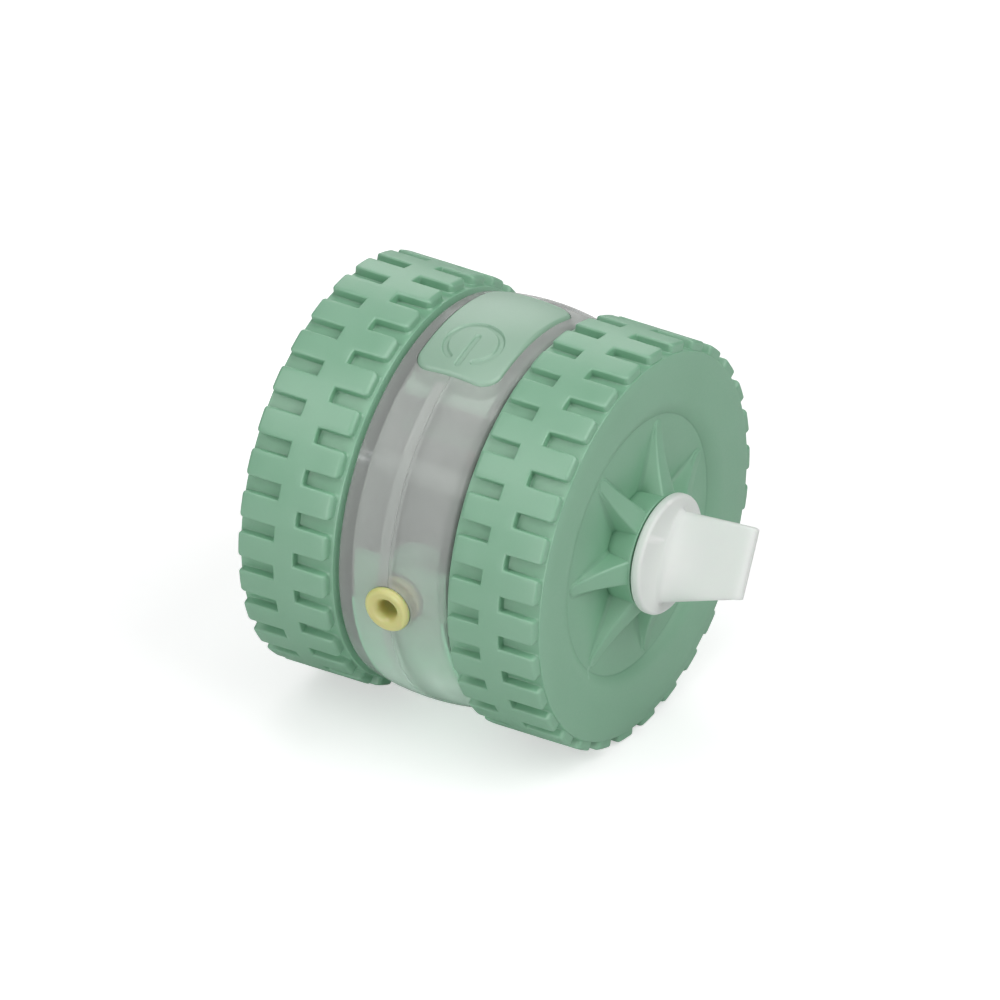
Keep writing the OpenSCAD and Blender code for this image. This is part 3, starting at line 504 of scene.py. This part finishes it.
def make_pad():
    """A fine grid drawn in to the rounded outline and laid on the barrel, with the mark pressed in."""
    bpy.ops.object.select_all(action="DESELECT")
    bpy.ops.mesh.primitive_grid_add(x_subdivisions=pad_cells[0], y_subdivisions=pad_cells[1], size=1)
    pad = bpy.context.object
    pad.name = "power_key"
    pad.data.name = "power_key"
    half_w = pad_w / 2
    half_len = pad_len / 2
    for vertex in pad.data.vertices:
        x, y = vertex.co.x * pad_w, vertex.co.y * pad_len
        past = max(0.0, abs(y) - (half_len - pad_corner))
        width = half_w - pad_corner + math.sqrt(max(0.0, pad_corner ** 2 - past ** 2))
        x *= width / half_w
        inside = min(width - abs(x), half_len - abs(y))
        corner_x = abs(x) - (half_w - pad_corner)
        corner_y = abs(y) - (half_len - pad_corner)
        if corner_x > 0 and corner_y > 0:
            inside = pad_corner - math.hypot(corner_x, corner_y)
        edge = max(0.0, pad_edge - inside)
        sunk = pad_edge - math.sqrt(max(0.0, pad_edge ** 2 - edge ** 2))
        along = pad_r * (math.asin(-y / pad_r) - math.radians(mark_turn))
        stroke = mark_distance(x, along)
        sunk += mark_depth * (1 - smooth_step(stroke, mark_line / 2 - mark_soft, mark_line / 2 + mark_soft))
        reach = pad_r - bow_drop(x)
        vertex.co = (x, y, axle.z + math.sqrt(reach ** 2 - y ** 2) - sunk)
    bpy.ops.object.mode_set(mode="EDIT")
    bpy.ops.mesh.select_all(action="SELECT")
    bpy.ops.mesh.region_to_loop()
    bpy.ops.mesh.extrude_region_move(TRANSFORM_OT_translate={"value": (0, 0, -pad_depth)})
    bpy.ops.mesh.edge_face_add()
    close_piece(smooth_angle=40)
    lips = rod(lip_top, ((-pad_w / 2, 0, axle.z), (pad_w / 2, 0, axle.z)), sides=180)
    cut(lips, rod(lip_top - lip_thick, ((-pad_w, 0, axle.z), (pad_w, 0, axle.z)), sides=180))
    bpy.ops.object.select_all(action="DESELECT")
    bpy.ops.mesh.primitive_cube_add(size=1, location=axle + Vector((0, 0, lip_top)))
    block = bpy.context.object
    block.scale = (pad_w * 2, lip_len, lip_top)
    bpy.ops.object.transform_apply(location=True, rotation=True, scale=True)
    cut(lips, block, "INTERSECT")
    cut(pad, lips, "UNION")
    bpy.ops.object.mode_set(mode="EDIT")
    close_piece(smooth_angle=40)
    return pad


def make_painted_edge_corner_group():
    """Paler edges with dust and a painted highlight, and a painted colour for the light in concave corners,
    from how sharply the surface turns.
    """
    group = bpy.data.node_groups.new("edge_highlight_corner_light", "ShaderNodeTree")
    new_socket = group.interface.new_socket
    new_socket("Pointiness", in_out="INPUT", socket_type="NodeSocketFloat")
    for name in ("Colour", "Edge Dust Highlight Colour", "Corner Painted Light Colour"):
        new_socket(name, in_out="INPUT", socket_type="NodeSocketColor")
    new_socket("Colour", in_out="OUTPUT", socket_type="NodeSocketColor")
    given = group.nodes.new("NodeGroupInput")
    result = group.nodes.new("NodeGroupOutput")
    colour = given.outputs["Colour"]
    # Paler colour on convex edges is dust with a painted highlight; the colour in concave corners is painted
    # light, mostly shade.
    for low, high, name in ((0.51, 0.62, "Edge Dust Highlight Colour"), (0.49, 0.40, "Corner Painted Light Colour")):
        mask = group.nodes.new("ShaderNodeMapRange")
        mask.inputs["From Min"].default_value = low
        mask.inputs["From Max"].default_value = high
        group.links.new(given.outputs["Pointiness"], mask.inputs["Value"])
        colour = mix_colours(group, mask.outputs["Result"], colour, given.outputs[name])
    group.links.new(colour, result.inputs["Colour"])
    return group


painted_edge_corner_group = make_painted_edge_corner_group()


def add_painted_edges_corners(tree, colour, edge, corner):
    """Places the group of dusty, highlighted edges and painted corner light in a material, over a colour."""
    node = tree.nodes.new("ShaderNodeGroup")
    node.node_tree = painted_edge_corner_group
    bend = tree.nodes.new("ShaderNodeNewGeometry")
    tree.links.new(bend.outputs["Pointiness"], node.inputs["Pointiness"])
    tree.links.new(colour, node.inputs["Colour"])
    node.inputs["Edge Dust Highlight Colour"].default_value = edge
    node.inputs["Corner Painted Light Colour"].default_value = corner
    return node.outputs["Colour"]


def soft_silicone(name, dark, light, edge, corner, roughness, glow):
    """Matte moulded silicone: light sinks in a little, edges are paler with dust and a painted highlight,
    and concave corners take a painted colour for the light there: shade on most pieces, glow in the eyelet's
    bore.
    """
    finish, tree, shader, place = start_finish(name)
    grain = add_grain(tree, place, pores=2200, clouds=70, roughness=roughness, spread=0.2)
    colour = mix_colours(tree, grain.outputs["Tone"], dark, light)
    tree.links.new(add_painted_edges_corners(tree, colour, edge, corner), shader.inputs["Base Color"])
    tree.links.new(grain.outputs["Roughness"], shader.inputs["Roughness"])
    shader.inputs["Subsurface Weight"].default_value = glow
    shader.inputs["Subsurface Radius"].default_value = (0.6, 1.0, 0.7)
    shader.inputs["Subsurface Scale"].default_value = 0.0012
    shader.inputs["IOR"].default_value = 1.65
    shader.inputs["Specular IOR Level"].default_value = 1.0
    add_bump(tree, grain.outputs["Height"], shader, depth=0.00004, strength=0.35)
    return finish


pad = make_pad()
# The pad's paler edge colour is dust with a painted highlight; its darker corner colour is painted shade.
pad_silicone = soft_silicone("pad_silicone", dark=paint(146, 183, 159), light=paint(152, 188, 165),
                             edge=paint(150, 192, 167), corner=paint(104, 154, 126),
                             roughness=0.5, glow=0.15)
pad.data.materials.append(pad_silicone)
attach(pad, "power_button")
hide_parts("power_pad")


# The rope eyelet, a translucent yellow silicone grommet pushed into the round opening in front. Its
# lip lies in a seat in the shell, a neck goes through, and an inner lip holds it.

eyelet_bore = 0.0019
eyelet_top = 0.0401
funnel_steps = 6
funnel_flare = 0.0013
funnel_drop = 0.0001
bore_drop = 0.001
neck_fillet = 0.0002
inner_lip_r = 0.0046
inner_low = 0.03395
inner_high = 0.03525
inner_rounds = (0.0003, 0.0002)


def make_eyelet():
    """The grommet's section, spun round the middle line of its bore."""
    lip = (eyelet_top - eyelet_seat - slide_fit) / 2
    lip_mid = (eyelet_r - lip, eyelet_seat + slide_fit + lip)
    funnel_rise = eyelet_top - funnel_drop - eyelet_seat
    bends = [math.pi / 2 * i / funnel_steps for i in range(funnel_steps + 1)]
    funnel = [(eyelet_bore + funnel_flare * (1 - math.cos(bend)), eyelet_seat + funnel_rise * math.sin(bend))
              for bend in bends]
    low_round, high_round = inner_rounds
    section = [(eyelet_bore, inner_low), (eyelet_bore, eyelet_seat - bore_drop)] + funnel
    section += arc(lip_mid, lip, start=100, end=-90, steps=12)
    section += [(eyelet_neck_r + neck_fillet, eyelet_seat + slide_fit),
                (eyelet_neck_r, eyelet_seat + slide_fit - neck_fillet)]
    section += [(eyelet_neck_r, inner_high), (inner_lip_r - high_round, inner_high),
                (inner_lip_r, inner_high - high_round), (inner_lip_r, inner_low + low_round),
                (inner_lip_r - low_round, inner_low), (eyelet_bore, inner_low)]
    out = ring_point(0, 1, eyelet_turn) - axle
    piece = trace("rope_grommet", [axle + Vector((r, 0, 0)) + out * h for r, h in section])
    turn_round(steps=72, axis=out)
    close_piece(smooth_angle=50)
    return piece


eyelet = make_eyelet()
# The eyelet's paler edge colour is dust with a painted highlight; its corner colour, brighter and yellower
# than the body, is painted glow in the hollow of the bore.
eyelet_silicone = soft_silicone("eyelet_silicone", dark=paint(214, 210, 128), light=paint(222, 218, 142),
                                edge=paint(236, 232, 180), corner=paint(226, 220, 112),
                                roughness=0.45, glow=0.9)
eyelet.data.materials.append(eyelet_silicone)
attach(eyelet, "drum")
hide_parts("rope_eyelet")


# The tyres, moulded in soft green silicone and stretched over the rims. Two rows of slots, half a
# pitch apart, leave lugs joined by a middle band; the outer face is a flat ring with a rolled lip, and
# inside it is a dish, where seven ribs rise in a curve to the collar round the axle.

tread_r = (tyre_hi.z - tyre_lo.z) / 2
tyre_x = tyre_lo.x
hub_x = tyre_hi.x
hub_proud = 0.0037
side_x = hub_x - hub_proud
lug_height = 0.0019
floor_r = tread_r - lug_height
tread_clear = 0.000015
tread_thick = 0.0054
tyre_in_r = tread_r - tread_thick
face_thick = 0.0029
back_x = side_x - face_thick
join_r = 0.0318
lug_count = 30
lug_pitch = 360 / lug_count
slot_half = 2.2
first_slot = 4
inner_ledge, outer_ledge = 0.0007, 0.0003
lug_ends = (tyre_x + inner_ledge, side_x - outer_ledge)
inner_slot_end, outer_slot_end = 0.0077, 0.0080
slot_ends = (tyre_x + inner_slot_end, side_x - outer_slot_end)
ledge_round = 0.0002
lug_bevel = 0.001
lug_rounds = {"inner end": 1.0, "inner corner": 1.0, "outer end": 0.7, "outer corner": 0.9,
              "slot corner": 0.4, "top": 0.4, "foot": 0.3, "outer foot": 0.05}
sharp_from = 50
near = 0.0001
hair = 0.00001
turn_slack = 0.01


def pick_faces(test):
    """Leaves selected only the faces that pass a test."""
    bpy.ops.mesh.select_mode(type="FACE")
    bpy.ops.mesh.select_all(action="DESELECT")
    mesh = bpy.context.edit_object.data
    sheet = bmesh.from_edit_mesh(mesh)
    for face in sheet.faces:
        if test(face):
            face.select_set(True)
    bmesh.update_edit_mesh(mesh)


def in_pitch(point):
    """How far past the last slot of the inner row a point lies, in degrees."""
    return (turn_of(point) - first_slot + turn_slack) % lug_pitch - turn_slack


def on_lug(face):
    """Whether a face of the tread's floor carries a lug."""
    middle = face.calc_center_median()
    if abs(radius_of(middle) - floor_r) > near or not lug_ends[0] < middle.x < lug_ends[1]:
        return False
    across = in_pitch(middle)
    half_pitch = lug_pitch / 2
    inner_slot = middle.x < slot_ends[0] and not slot_half < across < lug_pitch - slot_half
    outer_slot = middle.x > slot_ends[1] and abs(across - half_pitch) < slot_half
    return not (inner_slot or outer_slot)


def on_pitch_end(face):
    """Whether a face stands on the line where one pitch of the tread meets the next."""
    places = [in_pitch(vertex.co) for vertex in face.verts]
    return all(min(abs(place), abs(place - lug_pitch)) < turn_slack for place in places)


def not_on_ledge(edge):
    """Whether an edge lies between the tyre's two side ledges."""
    return all(lug_ends[0] - near < vertex.co.x < lug_ends[1] + near for vertex in edge.verts)


def lug_edge(edge, kind):
    """Whether an edge of the lugs is of a kind: an end, a corner, a top or a foot."""
    if len(edge.link_faces) < 2 or edge.calc_face_angle() < math.radians(sharp_from):
        return False
    low, high = sorted(radius_of(vertex.co) for vertex in edge.verts)
    inner, outer = (all(abs(vertex.co.x - x) < hair for vertex in edge.verts) for x in lug_ends)
    if low > tread_r - near:
        return kind == ("inner end" if inner else "outer end" if outer else "top")
    if low > floor_r - near and high > tread_r - near:
        return kind == ("inner corner" if inner else "outer corner" if outer else "slot corner")
    on_floor = low > floor_r - near and high < floor_r + near
    return on_floor and not_on_ledge(edge) and kind == ("outer foot" if outer else "foot")


def copy_round(pitch, count):
    """Copies the strip in edit mode round the axle until it closes, and merges the copies."""
    bpy.ops.mesh.select_all(action="SELECT")
    copies = count - 1
    bpy.ops.mesh.spin(steps=copies, dupli=True, angle=-math.radians(pitch * copies),
                      center=axle, axis=(1, 0, 0))
    merge_all()
    bpy.ops.mesh.normals_make_consistent(inside=False)


def make_tread():
    """One pitch of the tread with its lugs raised, copied round the tyre."""
    mids = [(lug_ends[0] + slot_ends[0]) / 2, sum(slot_ends) / 2, (lug_ends[1] + slot_ends[1]) / 2]
    lines = [lug_ends[1], mids[2], slot_ends[1], mids[1], slot_ends[0], mids[0], lug_ends[0]]
    turned_in = 0.3 * ledge_round
    section = [(side_x, join_r), (side_x, tyre_in_r), (side_x, floor_r - ledge_round)]
    section += [(side_x - turned_in, floor_r - turned_in), (side_x - ledge_round, floor_r)]
    section += [(x, floor_r) for x in lines]
    section += [(tyre_x + ledge_round, floor_r), (tyre_x + turned_in, floor_r - turned_in)]
    section += [(tyre_x, floor_r - ledge_round), (tyre_x, tyre_in_r), (back_x, tyre_in_r), (back_x, join_r)]
    tread = trace("tread", [ring_point(x, r, first_slot) for x, r in section])
    between = lug_pitch / 2 - 2 * slot_half
    for step in (slot_half, between, slot_half, slot_half, between, slot_half):
        bpy.ops.mesh.spin(steps=1, angle=-math.radians(step), center=axle, axis=(1, 0, 0))
    pick_faces(on_lug)
    bpy.ops.mesh.extrude_region()
    rise = (tread_r - tread_clear) / floor_r
    bpy.ops.transform.resize(value=(1, rise, rise), center_override=axle)
    pick_faces(on_pitch_end)
    bpy.ops.mesh.delete(type="FACE")
    copy_round(lug_pitch, lug_count)
    for kind, weight in lug_rounds.items():
        pick_edges(lambda edge: lug_edge(edge, kind))
        bpy.ops.transform.edge_bevelweight(value=weight)
    bpy.ops.object.mode_set(mode="OBJECT")
    apply_to(tread, "BEVEL", width=lug_bevel, segments=4, limit_method="WEIGHT",
             use_clamp_overlap=False)
    return tread


dish_r = 0.0256
lip_r = 0.0298
lip_depth = 0.0014
lip_curve = 2.4
lip_steps = 14
dish_depth = 0.00145
collar_r = 0.0115
collar_in_r = 0.01075
collar_round = 0.0002
collar_rows = (0.15, 0.35, 0.55, 0.75, 0.9, 1.0)
collar_deeper = 0.0003
collar_back_x = back_x - collar_deeper
sewn_strip = 0.0009
face_edge_r = join_r - sewn_strip
rib_count = 7
rib_turn = 33
rib_tip_gap = 0.0009
rib_tip_r = dish_r - rib_tip_gap
rib_root_r = collar_r
rib_tip_w = 0.0020
rib_tip_h = 0.0003
rib_tip_round = 0.0012
rib_tip_least = 0.2
rib_root_w = 0.005
rib_curve = 1.4
rib_draft = 0.0004
rib_top_least, rib_top_most = 0.0002, 0.0005
rib_foot_least, rib_foot_most = 0.0003, 0.0009
rib_round_share = 0.4
rib_bend = (0, 30, 60, 90)
rib_columns = 15
dish_rows = [0.0253, 0.0249, rib_tip_r, 0.0244, 0.0238, 0.0232, 0.0225, 0.0217, 0.0208, 0.0199, 0.0190,
             0.0181, 0.0172, 0.0163, 0.0154, 0.0146, 0.0138, 0.0131, 0.0125, 0.0119, collar_r]
floor_band = 0.0005


def dish_x(r):
    """Where the rolled lip and the dish's floor inside it lie along the axle at a radius."""
    if r > dish_r:
        return side_x - lip_depth * max(0.0, (lip_r - r) / (lip_r - dish_r)) ** lip_curve
    return side_x - lip_depth - (dish_depth - lip_depth) * (dish_r - r) / (dish_r - collar_r)


def rib_along(r):
    """How far along a rib a radius lies, from 0 at the tip to 1 at the root."""
    return min(1.0, max(0.0, (rib_tip_r - r) / (rib_tip_r - rib_root_r)))


def rib_profile(r):
    """A rib's half section at a radius: how far aside each column stands, and how high."""
    along = rib_along(r)
    from_tip = min(1.0, max(0.0, (rib_tip_r - r) / rib_tip_round))
    blunt = max(rib_tip_least, math.sqrt(1 - (1 - from_tip) ** 2))
    if r > rib_tip_r + hair:
        high = 0.0
    else:
        tip_x = dish_x(rib_tip_r) + rib_tip_h * blunt
        high = tip_x + (hub_x - collar_round - tip_x) * along ** rib_curve - dish_x(r)
    half = blunt * (rib_tip_w + (rib_root_w - rib_tip_w) * along) / 2
    top = min(rib_top_most, rib_top_least + 0.2 * high, 0.45 * half)
    foot = min(rib_foot_most, rib_foot_least + 0.3 * high)
    top_drop = min(top, rib_round_share * high)
    foot_rise = min(foot, rib_round_share * high)
    toe = half + rib_draft + foot
    section = [(0.0, high), (0.5 * half, high)]
    for turn in rib_bend:
        a = math.radians(turn)
        section.append((half - top * (1 - math.sin(a)), high - top_drop * (1 - math.cos(a))))
    for turn in rib_bend:
        a = math.radians(turn)
        section.append((toe - foot * math.cos(a), foot_rise * (1 - math.sin(a))))
    return section


def set_rib_column(vertex, sector):
    """Moves a vertex of the dish to its place beside a rib, and lifts it where the rib is."""
    r = radius_of(vertex.co)
    across = (turn_of(vertex.co) - rib_turn + 180) % 360 - 180
    column = round(across / sector * 2 * rib_columns)
    side = -1 if column < 0 else 1
    section = rib_profile(r)
    last = len(section) - 1
    toe = math.degrees(math.asin(section[last][0] / r))
    if abs(column) <= last:
        placed = math.degrees(math.asin(section[abs(column)][0] / r))
    else:
        placed = toe + (sector / 2 - toe) * (abs(column) - last) / (rib_columns - last)
    drawn = min(1.0, max(0.0, (lip_r - r) / (lip_r - dish_r)))
    turn = rib_turn + across + (side * placed - across) * drawn
    x = vertex.co.x
    on_face = collar_r - hair < r < rib_tip_r + hair and x > dish_x(r) - floor_band
    if abs(column) <= last and on_face:
        x = max(x, dish_x(r) + section[abs(column)][1])
    vertex.co = ring_point(x, r, turn)


def make_face():
    """One seventh of the tyre's outer face with its rib, copied round the axle."""
    shares = [i / lip_steps for i in range(lip_steps + 1)]
    section = [(side_x, face_edge_r)]
    lip_rows = [lip_r - (lip_r - dish_r) * share for share in shares]
    section += [(dish_x(r), r) for r in lip_rows + dish_rows]
    foot_x = dish_x(collar_r)
    rib_x = foot_x + rib_profile(collar_r)[0][1]
    section += [(foot_x + (rib_x - foot_x) * share, collar_r) for share in collar_rows]
    top_x = hub_x - collar_round
    section += arc((top_x, collar_r - collar_round), collar_round, start=90, end=0, steps=3)
    section += arc((top_x, collar_in_r + collar_round), collar_round, start=0, end=-90, steps=3)
    section += [(collar_back_x, collar_in_r), (collar_back_x, collar_r)]
    section += [(back_x, dish_r), (back_x, face_edge_r)]
    sector = 360 / rib_count
    face = trace("face", [ring_point(x, r, rib_turn - sector / 2) for x, r in section])
    bpy.ops.mesh.spin(steps=2 * rib_columns, angle=-math.radians(sector),
                      center=axle, axis=(1, 0, 0))
    bpy.ops.object.mode_set(mode="OBJECT")
    for vertex in face.data.vertices:
        set_rib_column(vertex, sector)
    bpy.ops.object.mode_set(mode="EDIT")
    copy_round(sector, rib_count)
    bpy.ops.object.mode_set(mode="OBJECT")
    return face


def make_tyre():
    """The tread and the outer face, sewn together front and back."""
    face = make_face()
    tyre = make_tread()
    bpy.ops.object.select_all(action="DESELECT")
    face.select_set(True)
    tyre.select_set(True)
    bpy.context.view_layer.objects.active = tyre
    bpy.ops.object.join()
    tyre.name = "lugged_tyre_right"
    tyre.data.name = "lugged_tyre_right"
    bpy.ops.object.mode_set(mode="EDIT")
    for x in (side_x, back_x):
        pick_edges(lambda edge: edge.is_boundary and abs(edge.verts[0].co.x - x) < near)
        bpy.ops.mesh.bridge_edge_loops()
    close_piece(smooth_angle=32)
    return tyre


# The tyre's paler edge colour is dust with a painted highlight; its dark corner colour is painted shade in
# the slots and at the ribs' feet.
tyre_silicone = soft_silicone("tyre_silicone", dark=paint(122, 177, 143), light=paint(130, 182, 150),
                              edge=paint(141, 189, 160), corner=paint(54, 121, 82),
                              roughness=0.5, glow=0.2)
tyre_right = make_tyre()
bpy.ops.object.select_all(action="DESELECT")
tyre_right.select_set(True)
bpy.context.view_layer.objects.active = tyre_right
bpy.ops.object.duplicate()
tyre_left = bpy.context.object
tyre_left.name = "lugged_tyre_left"
bpy.ops.object.mode_set(mode="EDIT")
bpy.ops.mesh.select_all(action="SELECT")
bpy.ops.transform.resize(value=(-1, 1, 1), center_override=(0, 0, 0))
close_piece(smooth_angle=32)
for tyre, side in ((tyre_left, "left"), (tyre_right, "right")):
    tyre.data.materials.append(tyre_silicone)
    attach(tyre, "wheel_" + side)
    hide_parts("tyre_" + side)


# The side plug and the left cap, white silicone stoppers pressed into the hollow axles. The right one
# covers the charging socket and carries a flat pull tab that grows out of a broad rounded foot.

plug_lo, plug_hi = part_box("side_plug")
flange_r = 0.0118
flange_gap = 0.00025
flange_back = hub_x + flange_gap
flange_height = 0.00235
flange_face = hub_x + flange_height
flange_round = 0.0007
stem_r = 0.00655
stem_chamfer = 0.0005
stem_x = plug_lo.x
tab_lean = 26.7
tab_ring_r = 0.0109
tab_sides = 120
tab_steps = 14
tab_foot = ((0.0, 0.0102, 0.0103, 0.0092, 1.9), (0.0, 0.0099, 0.0100, 0.0085, 1.9),
            (0.0, 0.0096, 0.0097, 0.0078, 1.9), (0.00012, 0.0093, 0.0094, 0.0071, 1.9),
            (0.0004, 0.0090, 0.0091, 0.0063, 1.9), (0.0010, 0.0088, 0.0089, 0.0056, 2.0))
tab_root_up, tab_root_down = 0.0088, 0.0089
tab_grows_up, tab_draws_in = 0.0009, 0.0045
tab_root_power, tab_squares_by = 2.0, 10.0
tab_thick, tab_root_extra, tab_thins = 0.0025, 0.0031, 2.6
tab_end_x = plug_hi.x
tab_end_up, tab_end_down, tab_end_power = 0.0097, 0.0044, 12.0
tab_end_round = 0.0012
tab_end_insets = ((0.0006, 0.00015), (0.00022, 0.0004), (0.00005, 0.0007), (0.0, 0.00095))
groove_r = 0.0086
groove_half = 0.0005
groove_floor_half = 0.0002
groove_depth = 0.0002


def flange_section():
    """The stopper's outline, from the end of its stem round the flange to its face."""
    rim = flange_r - flange_round
    section = [(stem_x, 0.0), (stem_x, stem_r - stem_chamfer), (stem_x + stem_chamfer, stem_r)]
    section += [(flange_back, stem_r)]
    section += arc((flange_back + flange_round, rim), flange_round, start=180, end=90, steps=4)
    section += arc((flange_face - flange_round, rim), flange_round, start=90, end=0, steps=5)
    return section


def tab_place(ring, turn):
    """A point of one ring of the tab, by its angle from the tab's upper side towards the front."""
    x, up, down, thick, power = ring
    c, s = math.cos(turn), math.sin(turn)
    rise = (up if c > 0 else -down) * abs(c) ** (2 / power)
    aside = thick / 2 * math.copysign(abs(s) ** (2 / power), s)
    lean = math.radians(tab_lean)
    return Vector((x, rise * math.sin(lean) - aside * math.cos(lean),
                   axle.z + rise * math.cos(lean) + aside * math.sin(lean)))


def tab_rings():
    """The tab's outlines from its foot on the flange to its rounded end, each with its place along the
    axle, its reach up and down, its thickness, and a power that squares its corners."""
    rings = [(flange_face + x, up, down, thick, power) for x, up, down, thick, power in tab_foot]
    start = rings[-1][0]
    for i in range(1, tab_steps + 1):
        t = i / tab_steps
        x = start + (tab_end_x - tab_end_round - start) * t
        up = tab_root_up + tab_grows_up * t
        down = tab_root_down - tab_draws_in * t
        thick = tab_thick + tab_root_extra * (1 - t) ** tab_thins
        rings.append((x, up, down, thick, tab_root_power + tab_squares_by * t ** 1.5))
    for back, inset in tab_end_insets:
        up = tab_end_up - 0.4 * inset
        down = tab_end_down - 0.6 * inset
        rings.append((tab_end_x - back, up, down, tab_thick - 2 * inset, tab_end_power))
    return rings


def make_plug():
    """The stopper spun round the axle, with the tab drawn out of its face ring by ring."""
    section = flange_section() + [(flange_face, tab_ring_r)]
    piece = trace("pull_stopper", [ring_point(x, r) for x, r in section])
    turn_round(tab_sides)
    merge_all()
    sheet = bmesh.from_edit_mesh(piece.data)
    around = sheet.verts.layers.float.new("around")
    for vertex in sheet.verts:
        vertex[around] = math.radians(turn_of(vertex.co) + tab_lean)
    bmesh.update_edit_mesh(piece.data)
    for ring in tab_rings():
        pick_edges(lambda edge: edge.is_boundary)
        bpy.ops.mesh.extrude_region()
        sheet = bmesh.from_edit_mesh(piece.data)
        around = sheet.verts.layers.float["around"]
        for vertex in sheet.verts:
            if vertex.select:
                vertex.co = tab_place(ring, vertex[around])
        bmesh.update_edit_mesh(piece.data)
    bpy.ops.mesh.edge_face_add()
    close_piece(smooth_angle=45)
    return piece


def make_cap():
    """The left stopper: the same flange with a shallow ring pressed into its face."""
    floor_x = flange_face - groove_depth
    groove = [(flange_face, groove_r + groove_half), (floor_x, groove_r + groove_floor_half),
              (floor_x, groove_r - groove_floor_half), (flange_face, groove_r - groove_half)]
    section = flange_section() + groove + [(flange_face, 0.0)]
    piece = trace("axle_stopper", [ring_point(-x, r) for x, r in section])
    turn_round(tab_sides)
    close_piece(smooth_angle=45)
    return piece


# The stoppers' paler edge colour is dust with a painted highlight; their darker corner colour is painted
# shade.
plug_silicone = soft_silicone("plug_silicone", dark=paint(229, 234, 230), light=paint(234, 238, 234),
                              edge=paint(246, 248, 246), corner=paint(214, 220, 216),
                              roughness=0.65, glow=0.1)
stoppers = ((make_plug(), "pull_plug", "side_plug"), (make_cap(), "drum", "axle_cap_left"))
for piece, body, node in stoppers:
    piece.data.materials.append(plug_silicone)
    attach(piece, body)
    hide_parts(node)


# The studio: a pale sheet of paper for a floor, and five soft lights, the largest one high on the
# right, with weaker ones at the left, in front, above and behind. The room itself gives little light.

floor_width = 4
floor_shades = (paint(218, 218, 218), paint(222, 222, 222))
floor_glow = 0.75
room_light = 0.04
camera_distance = 0.8


def make_floor():
    """A flat sheet that fills the picture, and glows where the camera sees it, also through plastic."""
    bpy.ops.object.select_all(action="DESELECT")
    bpy.ops.mesh.primitive_plane_add(size=floor_width)
    floor = bpy.context.object
    floor.name = "paper_floor"
    finish, tree, shader, place = start_finish("floor_paper")
    grain = add_grain(tree, place, pores=600, clouds=4, roughness=0.8, spread=0.1)
    sheet_colour = mix_colours(tree, grain.outputs["Tone"], *floor_shades)
    tree.links.new(sheet_colour, shader.inputs["Base Color"])
    path = tree.nodes.new("ShaderNodeLightPath")
    seen = tree.nodes.new("ShaderNodeMath")
    seen.operation = "MAXIMUM"
    tree.links.new(path.outputs["Is Camera Ray"], seen.inputs[0])
    tree.links.new(path.outputs["Is Transmission Ray"], seen.inputs[1])
    glow = mix_colours(tree, seen.outputs[0], (0, 0, 0, 1), sheet_colour)
    tree.links.new(glow, shader.inputs["Emission Color"])
    shader.inputs["Emission Strength"].default_value = floor_glow
    tree.links.new(grain.outputs["Roughness"], shader.inputs["Roughness"])
    finish.cycles.emission_sampling = "NONE"
    floor.data.materials.append(finish)


def add_light(name, place, size, power):
    """A square soft light aimed at the middle of the toy."""
    light = bpy.data.lights.new(name, "AREA")
    light.size = size
    light.energy = power
    lamp = bpy.data.objects.new(name, light)
    lamp.location = place
    lamp.rotation_euler = (axle - Vector(place)).to_track_quat("-Z", "Y").to_euler()
    bpy.context.scene.collection.objects.link(lamp)


def add_camera(azimuth, elevation, aside, width):
    """A camera without perspective, looking down at the toy from its right front."""
    a, e = math.radians(azimuth), math.radians(elevation)
    right = Vector((math.cos(a), math.sin(a), 0))
    back = Vector((math.sin(a) * math.cos(e), -math.cos(a) * math.cos(e), math.sin(e)))
    up = back.cross(right)
    lens = bpy.data.cameras.new("camera")
    lens.type = "ORTHO"
    lens.ortho_scale = width
    camera = bpy.data.objects.new("camera", lens)
    turn = Matrix((right, up, back)).transposed().to_4x4()
    camera.matrix_world = Matrix.Translation(axle + right * aside + back * camera_distance) @ turn
    bpy.context.scene.collection.objects.link(camera)
    bpy.context.scene.camera = camera


make_floor()
add_light("right_light", (0.70, 0.0, 0.75), size=0.9, power=6.3)
add_light("left_light", (-0.42, -0.50, 0.74), size=0.5, power=2.2)
add_light("front_light", (0.10, -0.97, 0.24), size=0.5, power=2.9)
add_light("top_light", (0.0, 0.0, 1.0), size=0.5, power=1.8)
add_light("back_light", (-0.436, 0.732, 0.45), size=0.5, power=2.1)
add_camera(azimuth=30.78, elevation=31.53, aside=0.001125, width=0.1875)
room = bpy.data.worlds.new("room")
bpy.context.scene.world = room
room.use_nodes = True
room.node_tree.nodes["Background"].inputs["Color"].default_value = (1, 1, 1, 1)
room.node_tree.nodes["Background"].inputs["Strength"].default_value = room_light
bpy.context.scene.view_settings.view_transform = "Standard"
